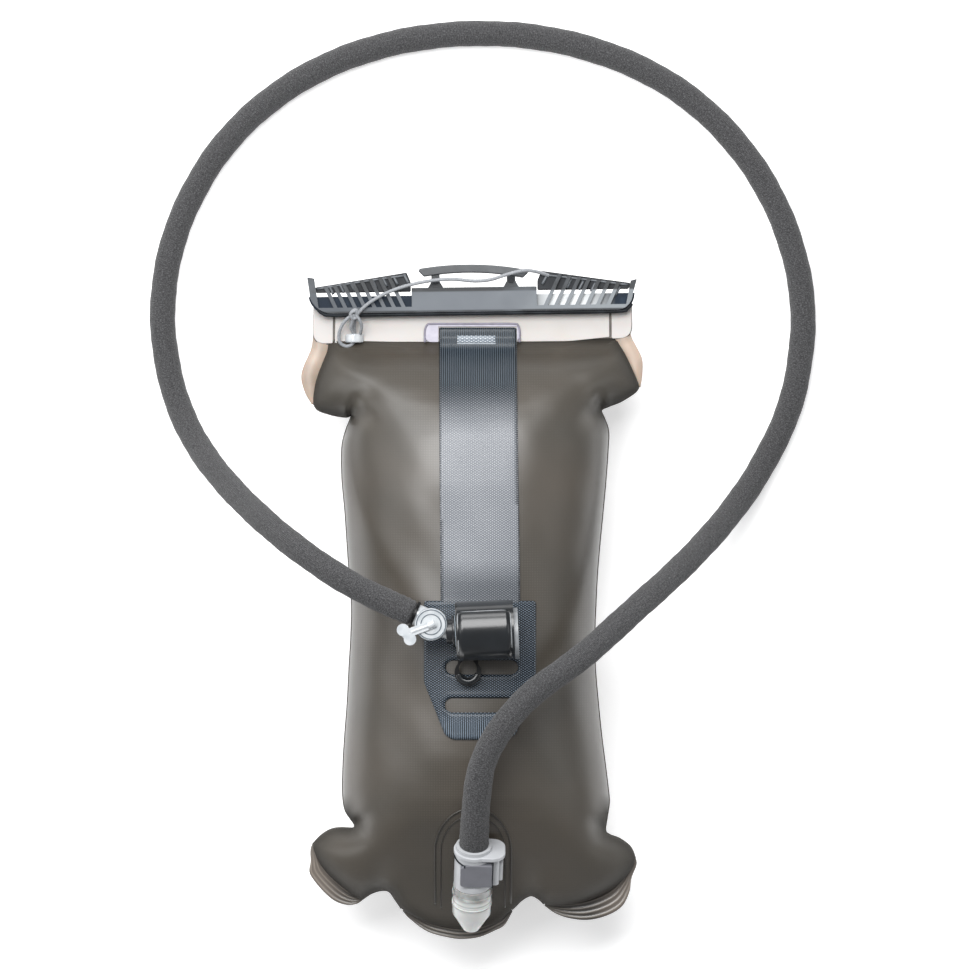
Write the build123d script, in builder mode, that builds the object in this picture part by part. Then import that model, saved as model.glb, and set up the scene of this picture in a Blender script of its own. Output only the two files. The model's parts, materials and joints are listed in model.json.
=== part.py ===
from build123d import *
import math
import os

# A hydration bladder lying on its back: a filled reservoir with a slide closure at its top end,
# and an insulated drinking hose that leaves a quick-release port and loops round on the ground.
# Millimetres. +X across the reservoir, +Y from its port to its closure, +Z up from the ground.

os.makedirs("parts", exist_ok=True)

# ---- Driving dimensions ----
SEAM_Z = 46.0          # height of the welded seam plane between the two films
FILM = 0.8             # film thickness
WELD_WIDTH = 3.0       # welded edge beside the films
WELD_HALF = 0.8        # half its thickness: two films melted together
MOUTH_Y = 135.0        # where the films end and the stiff lips begin
TAIL_Y = -172.0        # where the films end at the bottom

CLOSURE_TILT = 0.76    # degrees that the closure stands off square
CLOSURE_Y = 149.5      # lower edge of the slider, at the middle
LIP = 1.6              # lip thickness
LIP_GAP = 0.3          # from the seam plane to each lip
BEAD = 3.3             # height of the sealing bead above the seam plane
SLIDER_HALF = 6.5      # half the slider's depth
RIB = 2.0              # how far ribs and frame stand proud of it
SLIDE_FIT = 0.3        # clearance of the lips in the slider

PORT_TILT = 32.0       # degrees that the port's axis rises from the ground
PORT = Vector(0.5, -146.0, 78.0)   # centre of the socket's mouth
SOCKET_RADIUS = 10.0
SOCKET_BORE = 7.0
RUNNING = 0.06         # radial clearance of a running fit
STEM_RADIUS = 5.0

HOSE_RADIUS = 6.7      # insulating sleeve, outside
SLEEVE_BORE = 4.8
TUBE_RADIUS = 4.7      # drinking tube, outside
TUBE_BORE = 3.2
HOSE_START = 23.0      # along the port's axis, from the socket's mouth

COVER_RADIUS = 15.0
COVER_WALL = 1.5
COVER_LENGTH = 30.0
VALVE_Z = 110.8        # height of the mouthpiece's axis
COVER_TILT = 2.5       # degrees that the cover points off +X
TETHER_RADIUS = 0.9

port_axis = Vector(
    0.03,
    math.sqrt(1 - 0.03**2) * math.cos(math.radians(PORT_TILT)),
    math.sqrt(1 - 0.03**2) * math.sin(math.radians(PORT_TILT)),
)


def save(part, name):
    """Label a finished piece and write it."""
    part.label = name
    export_step(part, f"parts/{name}.step")


# ---- The reservoir's two films ----
# y, left and right half width of the silhouette, crown above the seam, belly below it, fullness.
# Fullness 2 is an ellipse; less is pinched towards the edges, as at the corners of a pillow.
STATIONS = [
    (MOUTH_Y, 84.0, 86.0, 1.9, 1.9, 2.0),
    (129.0, 85.6, 88.0, 9.0, 9.0, 1.8),
    (120.0, 88.9, 89.2, 19.0, 19.0, 1.75),
    (111.0, 88.2, 87.4, 27.0, 28.0, 1.8),
    (103.0, 83.6, 77.0, 33.5, 36.0, 1.9),
    (95.0, 68.0, 69.6, 39.0, 43.0, 2.1),
    (86.0, 67.2, 71.0, 43.0, 47.5, 2.2),
    (60.0, 67.0, 69.4, 47.0, 50.0, 2.3),
    (20.0, 63.8, 65.8, 48.0, 50.5, 2.3),
    (-30.0, 63.4, 64.2, 48.0, 50.5, 2.3),
    (-80.0, 66.4, 68.9, 47.0, 50.0, 2.3),
    (-102.0, 67.2, 70.8, 43.0, 46.5, 2.2),
    (-112.5, 64.0, 70.4, 38.5, 40.5, 2.1),
    (-120.0, 75.0, 72.0, 33.5, 34.0, 1.9),
    (-128.0, 84.3, 81.0, 28.5, 28.0, 1.8),
    (-138.0, 84.9, 85.0, 22.0, 21.0, 1.75),
    (-150.0, 80.0, 81.5, 15.0, 14.0, 1.75),
    (-162.0, 66.0, 70.0, 7.5, 7.0, 1.8),
    (TAIL_Y, 40.0, 44.0, 1.9, 1.9, 2.0),
]
PROFILE_POINTS = 9


def half_profile(station, sign, inset):
    """Points of one film's cross-section from the right edge to the left, as (x, z)."""
    y, left, right, crown, belly, fullness = station
    rise = (crown if sign > 0 else belly) - inset
    half = (left + right) / 2 - WELD_WIDTH - inset
    middle = (right - left) / 2
    points = []
    for step in range(PROFILE_POINTS):
        turn = math.pi * step / (PROFILE_POINTS - 1)
        across = math.copysign(abs(math.cos(turn)) ** (2 / fullness), math.cos(turn))
        up = max(math.sin(turn), 0.0) ** (2 / fullness)
        points.append((middle + half * across, SEAM_Z + sign * rise * up))
    return points


def film_blank(sign, inset):
    """Solid between the seam plane and one film's surface, inset inside it."""
    with BuildPart() as blank:
        for station in STATIONS:
            points = half_profile(station, sign, inset)
            reach = 0.0
            if inset > 0 and station[0] == MOUTH_Y:
                reach = 1.0
            if inset > 0 and station[0] == TAIL_Y:
                reach = inset
            with BuildSketch(Plane.XZ.offset(-(station[0] + reach))):
                with BuildLine():
                    Spline(*points)
                    Line(points[-1], points[0])
                make_face()
        loft(ruled=True)
        if sign < 0:
            split(bisect_by=Plane.XY.offset(FILM if inset > 0 else 0.0), keep=Keep.TOP)
    return blank.part


# Outline of the welded bottom edge: two ears and a middle lobe, with a notch between each.
def bottom_outline(margin):
    """Planform of the reservoir's lower end, as a face in the seam plane, margin inside the edge."""
    with BuildSketch(Plane.XY.offset(SEAM_Z)) as outline:
        with BuildLine():
            Polyline((-84.9, -138), (-95, -120), (-95, 145), (98, 145), (98, -120), (86.0, -136))
            ThreePointArc((86.0, -136), (79.5, -156), (60.0, -166))
            ThreePointArc((60.0, -166), (45.5, -165), (35.0, -157.5))
            ThreePointArc((35.0, -157.5), (28.5, -155.5), (23.0, -160.0))
            ThreePointArc((23.0, -160.0), (-4.0, -176.0), (-32.0, -166.0))
            ThreePointArc((-32.0, -166.0), (-37.5, -156.5), (-45.0, -152.5))
            ThreePointArc((-45.0, -152.5), (-58.0, -158.0), (-69.0, -157.0))
            ThreePointArc((-69.0, -157.0), (-82.0, -149.0), (-84.9, -138))
        make_face()
        if margin > 0:
            offset(amount=-margin, mode=Mode.REPLACE)
    return outline.sketch


BOTTOM_WELD_WIDTH = 6.0
film_outline = bottom_outline(BOTTOM_WELD_WIDTH)
space_outline = bottom_outline(BOTTOM_WELD_WIDTH + FILM)
SPAN = 60.0


def film_outer(sign):
    """One film's outer solid, trimmed to the scalloped bottom."""
    with BuildPart() as outer:
        add(film_blank(sign, 0.0))
        extrude(film_outline, amount=SPAN, both=True, mode=Mode.INTERSECT)
    return outer.part


def film_space(sign):
    """The space inside one film, open towards the seam plane and the mouth."""
    with BuildPart() as space:
        add(film_blank(sign, FILM))
        extrude(space_outline, amount=SPAN, both=True, mode=Mode.INTERSECT)
    return space.part


port_plane = Plane(origin=PORT, x_dir=(1, 0, 0), z_dir=port_axis)
STEM_AT = -7.0         # along the port's axis, where the stem leaves the socket
STEM_LENGTH = 15.5
stem_start = port_plane.from_local_coords(Vector(0, 0, STEM_AT))
stem_down = port_plane.y_dir
stem_plane = Plane(origin=stem_start, x_dir=(1, 0, 0), z_dir=stem_down)

with BuildPart() as front_panel:
    add(film_outer(1))
    add(film_space(1), mode=Mode.SUBTRACT)
    with BuildSketch(stem_plane):
        Circle(STEM_RADIUS)
    extrude(amount=STEM_LENGTH, mode=Mode.SUBTRACT)
save(front_panel.part, "front_panel")

with BuildPart() as back_panel:
    add(film_outer(-1))
    add(film_space(-1), mode=Mode.SUBTRACT)
save(back_panel.part, "back_panel")

# ---- Welded edges ----
TAIL_ROOM = 10.0       # beyond the films, for the bottom weld's middle lobe


def silhouette():
    """Planform of the whole reservoir below its lips."""
    with BuildSketch(Plane.XY.offset(SEAM_Z)) as outline:
        with BuildLine():
            left = [(-station[1], station[0]) for station in STATIONS]
            right = [(station[2], station[0]) for station in STATIONS]
            left.append((left[-1][0], TAIL_Y - TAIL_ROOM))
            right.append((right[-1][0], TAIL_Y - TAIL_ROOM))
            Polyline(*left, *reversed(right), close=True)
        make_face()
    return outline.sketch


with BuildPart() as weld_plate:
    extrude(silhouette(), amount=WELD_HALF, both=True)
    extrude(bottom_outline(0.0), amount=SPAN, both=True, mode=Mode.INTERSECT)
    add(film_outer(1), mode=Mode.SUBTRACT)
    add(film_outer(-1), mode=Mode.SUBTRACT)

BOTTOM_WELD_TOP = -112.5   # the side welds end and the bottom weld begins here
with BuildPart() as bottom_weld:
    add(weld_plate.part)
    split(bisect_by=Plane.XZ.offset(-BOTTOM_WELD_TOP), keep=Keep.TOP)
save(bottom_weld.part, "bottom_weld")

with BuildPart() as side_welds:
    add(weld_plate.part)
    split(bisect_by=Plane.XZ.offset(-BOTTOM_WELD_TOP), keep=Keep.BOTTOM)

with BuildPart() as side_weld_left:
    add(side_welds.part)
    split(bisect_by=Plane.YZ, keep=Keep.BOTTOM)
save(side_weld_left.part, "side_weld_left")

with BuildPart() as side_weld_right:
    add(side_welds.part)
    split(bisect_by=Plane.YZ, keep=Keep.TOP)
save(side_weld_right.part, "side_weld_right")


# ---- Mouth lips and slide closure, drawn square to the closure ----
tilt = math.radians(CLOSURE_TILT)
closure_along = Vector(math.cos(tilt), math.sin(tilt), 0)


def closure_plane(height):
    """Plane with x along the slider and y away from the reservoir, height above the seam."""
    return Plane(origin=(0, CLOSURE_Y, SEAM_Z + height), x_dir=closure_along, z_dir=(0, 0, 1))


LIP_LEFT = -82.5
LIP_RIGHT = 84.0
LIP_TOP = 8.7          # beyond the slider's lower edge
BEAD_WIDTH = 2.8
MOUTH_DEPTH = CLOSURE_Y - MOUTH_Y


def lip(sign):
    """One stiff lip: a flat strip with a bead along its free edge."""
    low, high = sorted((sign * LIP_GAP, sign * (LIP_GAP + LIP)))
    top = sign * BEAD
    with BuildPart() as strip:
        with BuildSketch(closure_plane(low)):
            with BuildLine():
                Polyline(
                    (LIP_LEFT, LIP_TOP),
                    (LIP_LEFT, -MOUTH_DEPTH - LIP_LEFT * math.tan(tilt)),
                    (LIP_RIGHT, -MOUTH_DEPTH - LIP_RIGHT * math.tan(tilt)),
                    (LIP_RIGHT, LIP_TOP),
                    close=True,
                )
            make_face()
        extrude(amount=high - low)
        with BuildSketch(closure_plane(min(sign * LIP_GAP, top))):
            with Locations(((LIP_LEFT + LIP_RIGHT) / 2, LIP_TOP - BEAD_WIDTH / 2)):
                Rectangle(LIP_RIGHT - LIP_LEFT, BEAD_WIDTH)
        extrude(amount=BEAD - LIP_GAP)
    return strip.part


save(lip(1), "front_lip")
save(lip(-1), "back_lip")

BLOCK_TOP = 10.0       # top of the channel block
FRAME_TOP = 14.0       # top of the middle plate
RAIL_LOW = 12.2        # lower edge of the upper rails
THROAT = LIP_GAP + LIP + SLIDE_FIT
CHAMBER = BEAD + SLIDE_FIT
CHAMBER_LOW = LIP_TOP - BEAD_WIDTH - SLIDE_FIT
CHAMBER_HIGH = LIP_TOP + SLIDE_FIT
PLATE_LEFT = -31.0
PLATE_RIGHT = 34.0
CAP_LEFT = -79.5       # inner edges of the end caps
CAP_RIGHT = 80.5
RIB_LEAN = math.tan(math.radians(25))
RIB_WIDTH = 2.1
RIB_LOW = 4.2
RAIL_RISE = (22.5 - 15.3) / (PLATE_RIGHT - CAP_RIGHT)
left_windows = 9
right_windows = 8


def rail_top(along):
    """Height of the upper rails' sloping top edge."""
    if along < 0:
        return 15.3 - (CAP_LEFT - along) * 7.2 / (PLATE_LEFT - CAP_LEFT)
    return 22.5 + (along - PLATE_RIGHT) * RAIL_RISE


def rib_feet(count, start, end):
    """Where the ribs between count windows stand, from start to end along the slider."""
    pitch = (end - start) / count
    return [start + pitch * step for step in range(1, count)]


ribs = []
for foot in rib_feet(left_windows, CAP_LEFT + 4.0, PLATE_LEFT + 1.0):
    ribs.append((foot, foot - RIB_LEAN * (rail_top(foot - 5.0) - RIB_LOW)))
for foot in rib_feet(right_windows, PLATE_RIGHT - 1.0, CAP_RIGHT - 4.0):
    ribs.append((foot, foot + RIB_LEAN * (rail_top(foot + 5.0) - RIB_LOW)))

with BuildPart() as slider_channel:
    with BuildSketch(closure_plane(-SLIDER_HALF)):
        with BuildLine():
            Line((-73, 0), (76, 0))
            ThreePointArc((76, 0), (82.2, 3.0), (85, BLOCK_TOP))
            Line((85, BLOCK_TOP), (-84.8, BLOCK_TOP))
            ThreePointArc((-84.8, BLOCK_TOP), (-80.9, 3.2), (-73, 0))
        make_face()
    extrude(amount=2 * SLIDER_HALF)
    with BuildSketch(closure_plane(SLIDER_HALF)):
        with BuildLine():
            Line((-71, 1.2), (75, 1.2))
            ThreePointArc((75, 1.2), (81.4, 3.6), (84.0, RIB_LOW + 5))
            Polyline(
                (84.0, RIB_LOW + 5),
                (86.3, 17.2),
                (83.0, 16.4),
                (CAP_RIGHT, RIB_LOW),
                (CAP_LEFT, RIB_LOW),
                (-81.6, 19.6),
                (-85.3, 20.3),
                (-83.8, 9.2),
            )
            ThreePointArc((-83.8, 9.2), (-80.0, 4.0), (-71, 1.2))
        make_face()
        with Locations(((PLATE_LEFT + PLATE_RIGHT) / 2, (FRAME_TOP + 1.2) / 2)):
            Rectangle(PLATE_RIGHT - PLATE_LEFT, FRAME_TOP - 1.2)
        for foot, head in ribs:
            with BuildLine():
                Polyline(
                    (foot - RIB_WIDTH / 2, RIB_LOW - 0.5),
                    (foot + RIB_WIDTH / 2, RIB_LOW - 0.5),
                    (head + RIB_WIDTH / 2, rail_top(head) - 0.4),
                    (head - RIB_WIDTH / 2, rail_top(head) - 0.4),
                    close=True,
                )
            make_face()
    extrude(amount=RIB)
    with BuildSketch(closure_plane(-2.0)):
        with Locations(((PLATE_LEFT + PLATE_RIGHT) / 2, (FRAME_TOP + BLOCK_TOP - 1) / 2)):
            Rectangle(PLATE_RIGHT - PLATE_LEFT, FRAME_TOP - BLOCK_TOP + 1)
    extrude(amount=SLIDER_HALF + 2.0)
    with BuildSketch(closure_plane(-THROAT)):
        with Locations(((LIP_LEFT + 100) / 2, LIP_TOP / 2 - 2)):
            Rectangle(100 - LIP_LEFT + 2 * SLIDE_FIT, LIP_TOP + 4)
    extrude(amount=2 * THROAT, mode=Mode.SUBTRACT)
    with BuildSketch(closure_plane(-CHAMBER)):
        with Locations(((LIP_LEFT + 100) / 2, (CHAMBER_LOW + CHAMBER_HIGH) / 2)):
            Rectangle(100 - LIP_LEFT + 2 * SLIDE_FIT, CHAMBER_HIGH - CHAMBER_LOW)
    extrude(amount=2 * CHAMBER, mode=Mode.SUBTRACT)
save(slider_channel.part, "slider_channel")

with BuildPart() as slider_rail_left:
    with BuildSketch(closure_plane(-SLIDER_HALF)):
        with BuildLine():
            Polyline(
                (-81.0, RAIL_LOW),
                (-81.0, 15.0),
                (-33.5, rail_top(-33.5)),
                (PLATE_LEFT - 0.5, RAIL_LOW + 5),
                (PLATE_LEFT - 0.5, RAIL_LOW),
                close=True,
            )
        make_face()
    extrude(amount=2 * SLIDER_HALF)
    fillet(slider_rail_left.edges().filter_by(Axis.Z), radius=0.8)
save(slider_rail_left.part, "slider_rail_left")

with BuildPart() as slider_rail_right:
    with BuildSketch(closure_plane(-SLIDER_HALF)):
        with BuildLine():
            Polyline(
                (PLATE_RIGHT + 0.5, RAIL_LOW),
                (PLATE_RIGHT + 0.5, RAIL_LOW + 5),
                (36.5, rail_top(36.5)),
                (83.0, 15.2),
                (82.0, RAIL_LOW),
                close=True,
            )
        make_face()
    extrude(amount=2 * SLIDER_HALF)
    fillet(slider_rail_right.edges().filter_by(Axis.Z), radius=0.8)
save(slider_rail_right.part, "slider_rail_right")

BRIDGE_LOW = -3.0
BRIDGE_DEPTH = 8.0
with BuildPart() as slider_bridge:
    with BuildSketch(closure_plane(BRIDGE_LOW)):
        with BuildLine():
            ThreePointArc((-28.5, 23.8), (1.5, 25.9), (31.0, 22.4))
            Line((31.0, 22.4), (27.0, 18.6))
            ThreePointArc((27.0, 18.6), (1.5, 21.6), (-24.5, 19.8))
            Line((-24.5, 19.8), (-28.5, 23.8))
        make_face()
    extrude(amount=BRIDGE_DEPTH)
    fillet(slider_bridge.edges().filter_by(Axis.Z), radius=1.2)
save(slider_bridge.part, "slider_bridge")

POSTS = (-18.5, 20.8)
RIVET_RADIUS = 1.1
POST_LOW = -1.0
POST_DEPTH = 5.0
with BuildPart() as bridge_posts:
    for post in POSTS:
        with BuildSketch(closure_plane(POST_LOW)):
            with BuildLine():
                Polyline(
                    (post - 4.0, FRAME_TOP),
                    (post + 4.0, FRAME_TOP),
                    (post + 2.2, FRAME_TOP + 3.2),
                    (post + 2.2, FRAME_TOP + 7.5),
                    (post - 2.2, FRAME_TOP + 7.5),
                    (post - 2.2, FRAME_TOP + 3.2),
                    close=True,
                )
            make_face()
        extrude(amount=POST_DEPTH)
    add(slider_bridge.part, mode=Mode.SUBTRACT)
    with BuildSketch(closure_plane(POST_LOW + POST_DEPTH)):
        with Locations(*[(post, FRAME_TOP + 3.4) for post in POSTS]):
            Circle(RIVET_RADIUS)
    extrude(amount=-3.0, mode=Mode.SUBTRACT)
save(bridge_posts.part, "bridge_posts")

with BuildPart() as bridge_rivets:
    with BuildSketch(closure_plane(POST_LOW + POST_DEPTH - 3.0)):
        with Locations(*[(post, FRAME_TOP + 3.4) for post in POSTS]):
            Circle(RIVET_RADIUS)
    extrude(amount=3.0)
    with BuildSketch(closure_plane(POST_LOW + POST_DEPTH)):
        with Locations(*[(post, FRAME_TOP + 3.4) for post in POSTS]):
            Circle(RIVET_RADIUS + 0.5)
    extrude(amount=0.6)
save(bridge_rivets.part, "bridge_rivets")


# ---- Strap, anchor patch and port patch, laid on the front film ----
SKIN_GAP = 0.1
STRAP = 1.2            # strap thickness


def skin(low, high):
    """Blank between two surfaces that follow the front film, low and high above it."""
    with BuildPart() as blank:
        add(film_blank(1, -high))
        add(film_blank(1, -low), mode=Mode.SUBTRACT)
    return blank.part


LIP_FACE = SEAM_Z + LIP_GAP + LIP
STRAP_LEFT = -16.9
STRAP_RIGHT = 23.3
STRAP_TOP = 142.7
STRAP_FOOT = 1.0
SEAM_JOIN = 0.5

with BuildPart() as hand_strap:
    with BuildSketch(Plane.XY.offset(SEAM_Z)):
        with BuildLine():
            Polyline(
                (STRAP_LEFT, MOUTH_Y + 5),
                (STRAP_RIGHT, MOUTH_Y + 5),
                (25.2, STRAP_FOOT),
                (-15.9, STRAP_FOOT),
                close=True,
            )
        make_face()
    extrude(amount=SPAN)
    add(skin(SKIN_GAP, SKIN_GAP + STRAP), mode=Mode.INTERSECT)
    with BuildSketch(Plane.XY.offset(LIP_FACE + SKIN_GAP)):
        with Locations(((STRAP_LEFT + STRAP_RIGHT) / 2, (MOUTH_Y - SEAM_JOIN + STRAP_TOP) / 2)):
            Rectangle(STRAP_RIGHT - STRAP_LEFT, STRAP_TOP - MOUTH_Y + SEAM_JOIN)
    extrude(amount=STRAP)
save(hand_strap.part, "hand_strap")

FRAME_HEIGHT = 0.8
with BuildPart() as strap_frame:
    with BuildSketch(Plane.XY.offset(LIP_FACE)):
        with Locations((0.25, (MOUTH_Y + 144.8) / 2)):
            RectangleRounded(48.9, 144.8 - MOUTH_Y, 3.0)
        with Locations(((STRAP_LEFT + STRAP_RIGHT) / 2, STRAP_TOP + 0.4 - 10)):
            Rectangle(STRAP_RIGHT - STRAP_LEFT + 0.8, 20, mode=Mode.SUBTRACT)
    extrude(amount=FRAME_HEIGHT)
save(strap_frame.part, "strap_frame")

SLOTS = [(5.5, -33.5, 37.5, 7.4), (4.4, -53.0, 36.4, 7.6)]   # x, y, length, width
with BuildPart() as strap_anchor:
    with BuildSketch(Plane.XY.offset(SEAM_Z)):
        with BuildLine():
            Polyline(
                (-24.7, STRAP_FOOT - 0.2),
                (33.5, STRAP_FOOT - 0.2),
                (33.5, -41.3),
                (22.5, -68.0),
                (17.0, -71.0),
                (-9.0, -71.0),
                (-13.5, -68.0),
                (-24.7, -41.3),
                close=True,
            )
        make_face()
        for x, y, length, width in SLOTS:
            with Locations((x, y)):
                SlotOverall(length, width, mode=Mode.SUBTRACT)
    extrude(amount=SPAN)
    add(skin(SKIN_GAP, SKIN_GAP + STRAP), mode=Mode.INTERSECT)
save(strap_anchor.part, "strap_anchor")

PATCH = 0.4
with BuildPart() as port_patch:
    with BuildSketch(Plane.XY.offset(SEAM_Z)):
        with BuildLine():
            Line((-19.5, -160), (17, -160))
            Line((17, -160), (17, -124))
            ThreePointArc((17, -124), (-1.2, -107.0), (-19.5, -124))
            Line((-19.5, -124), (-19.5, -160))
        make_face()
    extrude(amount=SPAN)
    add(skin(SKIN_GAP, SKIN_GAP + PATCH), mode=Mode.INTERSECT)
    with BuildSketch(stem_plane):
        Circle(STEM_RADIUS)
    extrude(amount=STEM_LENGTH, mode=Mode.SUBTRACT)
save(port_patch.part, "port_patch")


# ---- Drink port: local z along the port's axis, out towards the hose, local y down ----
def port_level(distance):
    """Plane square to the port's axis, distance from the socket's mouth."""
    return port_plane.offset(distance)


NOSE_LENGTH = 3.3
SEAT_TOP = -3.6
SEAT_LOW = -4.5        # the poppet rises to here once the plug is out
SEAT_BORE = 4.5
TIP_RADIUS = 4.2
TIP_END = -7.4         # the plug's tip holds the poppet off its seat
CHAMBER_RADIUS = 6.0
CHAMBER_END = -15.5
SOCKET_END = -17.0
TAIL_END = -27.5
STEM_BORE = 2.6
FLANGE_AT = 13.6       # along the stem, where the flange inside the film begins

with BuildPart() as port_socket:
    with BuildSketch(port_level(SOCKET_END)):
        Circle(SOCKET_RADIUS)
    extrude(amount=-SOCKET_END)
    with BuildSketch(port_level(SOCKET_END)):
        Circle(SOCKET_RADIUS)
    with BuildSketch(port_level(TAIL_END)):
        Circle(4.2)
    loft()
    for level in (-11.5, -5.0):
        with BuildSketch(port_level(level)):
            Circle(SOCKET_RADIUS + 0.4)
        extrude(amount=1.2)
    with BuildSketch(stem_plane):
        Circle(STEM_RADIUS)
    extrude(amount=FLANGE_AT)
    with BuildSketch(port_level(SEAT_TOP)):
        Circle(SOCKET_BORE)
    extrude(amount=1 - SEAT_TOP, mode=Mode.SUBTRACT)
    with BuildSketch(port_level(SEAT_LOW - 0.1)):
        Circle(SEAT_BORE)
    extrude(amount=2.0, mode=Mode.SUBTRACT)
    with BuildSketch(port_level(CHAMBER_END)):
        Circle(CHAMBER_RADIUS)
    extrude(amount=SEAT_LOW - CHAMBER_END, mode=Mode.SUBTRACT)
    with BuildSketch(stem_plane):
        Circle(STEM_BORE)
    extrude(amount=FLANGE_AT + 1, mode=Mode.SUBTRACT)
save(port_socket.part, "port_socket")

with BuildPart() as port_inner_flange:
    with BuildSketch(stem_plane.offset(FLANGE_AT)):
        Circle(8.0)
        Circle(STEM_BORE, mode=Mode.SUBTRACT)
    extrude(amount=1.4)
save(port_inner_flange.part, "port_inner_flange")

POPPET_TOP = -7.5
with BuildPart() as valve_poppet:
    with BuildSketch(port_level(POPPET_TOP)):
        Circle(5.2)
    extrude(amount=-1.9)
    with BuildSketch(port_level(POPPET_TOP - 1.9)):
        Circle(1.4)
    extrude(amount=-3.4)
save(valve_poppet.part, "valve_poppet")


def coil(plane, height, radius, turns, wire):
    """Compression spring standing on a plane."""
    with BuildPart() as spring:
        with BuildLine():
            path = Helix(height / turns, height, radius, center=plane.origin, direction=plane.z_dir)
        with BuildSketch(Plane(origin=path @ 0, z_dir=path % 0)):
            Circle(wire)
        sweep(path=path)
    return spring.part


save(coil(port_level(CHAMBER_END + 0.5), 4.8, 3.4, 3.5, 0.35), "poppet_spring")

BODY_START = 0.3
BODY_TOP = 20.5
PLUG_TOP = 22.5
BUTTON_TRAVEL = 1.5
RING_AT = 1.6          # the O-ring's depth below the socket's mouth
with BuildPart() as plug_body:
    with BuildSketch(port_level(TIP_END)):
        Circle(TIP_RADIUS)
    extrude(amount=-TIP_END - NOSE_LENGTH)
    with BuildSketch(port_level(-NOSE_LENGTH)):
        Circle(SOCKET_BORE - RUNNING)
    extrude(amount=NOSE_LENGTH + BODY_START)
    with BuildSketch(port_level(BODY_START)):
        Circle(9.7)
    extrude(amount=BODY_TOP - BODY_START)
    with BuildSketch(port_level(4.0)):
        with Locations((9.0, 0)):
            RectangleRounded(9.0, 13.0, 2.0)
    extrude(amount=BODY_TOP - 4.0)
    with BuildSketch(port_level(BODY_TOP)):
        Circle(10.3)
        with Locations((7.4, 0)):
            RectangleRounded(18.0, 19.0, 7.0)
    extrude(amount=PLUG_TOP - BODY_TOP)
    flange_face = plug_body.faces().sort_by(Axis(PORT, port_axis))[-1]
    fillet(flange_face.edges(), radius=0.5)
    with BuildSketch(port_level(PLUG_TOP)):
        Circle(9.2)
        Circle(HOSE_RADIUS + 0.3, mode=Mode.SUBTRACT)
    extrude(amount=2.0)
    with BuildSketch(port_level(PLUG_TOP)):
        Circle(TUBE_BORE)
    extrude(amount=7.0)
    with BuildSketch(port_level(3.0)):
        with Locations((1.0, -10.4)):
            Rectangle(14.0, 3.4)
    extrude(amount=14.0, mode=Mode.SUBTRACT)
    with BuildSketch(port_level(-RING_AT - 1.0)):
        Circle(SOCKET_BORE + 1)
        Circle(5.2, mode=Mode.SUBTRACT)
    extrude(amount=2.0, mode=Mode.SUBTRACT)
    with BuildSketch(port_level(5.0)):
        with Locations((12.0, 0)):
            Rectangle(6.0, 8.6)
    extrude(amount=12.0, mode=Mode.SUBTRACT)
    with BuildSketch(Plane(origin=port_plane.from_local_coords(Vector(4.8, 0, 11)), z_dir=port_plane.x_dir)):
        Circle(2.0)
    extrude(amount=5.0, mode=Mode.SUBTRACT)
    with BuildSketch(port_level(TIP_END)):
        Circle(2.2)
    extrude(amount=PLUG_TOP + 10 - TIP_END, mode=Mode.SUBTRACT)
save(plug_body.part, "plug_body")

with BuildPart() as plug_o_ring:
    with BuildSketch(Plane(origin=PORT, x_dir=port_plane.x_dir, z_dir=port_plane.y_dir)):
        with Locations((6.08, RING_AT)):
            Circle(0.85)
    revolve(axis=Axis(PORT, port_axis))
save(plug_o_ring.part, "plug_o_ring")

with BuildPart() as release_button:
    with BuildSketch(port_level(5.3)):
        with Locations((13.0, 0)):
            RectangleRounded(4.9, 8.0, 1.2)
    extrude(amount=11.4)
save(release_button.part, "release_button")

spring_seat = Plane(origin=port_plane.from_local_coords(Vector(5.1, 0, 11)), z_dir=port_plane.x_dir)
save(coil(spring_seat, 5.2 - BUTTON_TRAVEL, 1.4, 4, 0.25), "button_spring")


# ---- Hose: points of its route, from the plug to the mouthpiece ----
hose_start = port_plane.from_local_coords(Vector(0, 0, PLUG_TOP))
FIRST_RUN = 31.0
hose_route = [
    hose_start,
    hose_start + port_axis * FIRST_RUN,
    Vector(12.5, -74.0, 115.6),
    Vector(31.5, -50.0, 117.0),
    Vector(57.0, -28.5, 107.5),
    Vector(83.0, -5.0, 82.0),
    Vector(111.0, 19.0, 48.0),
    Vector(134.5, 44.0, 20.0),
    Vector(153.5, 71.0, 6.8),
    Vector(171.0, 108.5, 6.8),
    Vector(176.0, 164.0, 6.8),
    Vector(155.0, 223.0, 6.8),
    Vector(111.0, 270.5, 6.8),
    Vector(49.0, 296.0, 6.8),
    Vector(-19.0, 299.0, 6.8),
    Vector(-80.0, 282.0, 6.8),
    Vector(-127.0, 247.0, 6.8),
    Vector(-155.0, 200.0, 6.8),
    Vector(-164.0, 154.0, 6.8),
    Vector(-158.5, 114.0, 6.8),
    Vector(-147.0, 86.0, 19.0),
    Vector(-129.0, 62.0, 46.0),
    Vector(-105.0, 39.5, 81.0),
    Vector(-82.0, 22.0, 101.0),
    Vector(-55.7, 5.4, VALVE_Z),
    Vector(-29.9, -5.5, VALVE_Z),
]


def corner_radii(points):
    """The largest arcs that the runs allow, one for each corner."""
    radii = []
    for before, here, after in zip(points, points[1:], points[2:]):
        turn = math.radians((here - before).get_angle(after - here))
        shorter = min((here - before).length, (after - here).length)
        radii.append(0.45 * shorter / math.tan(turn / 2))
    return radii


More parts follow.
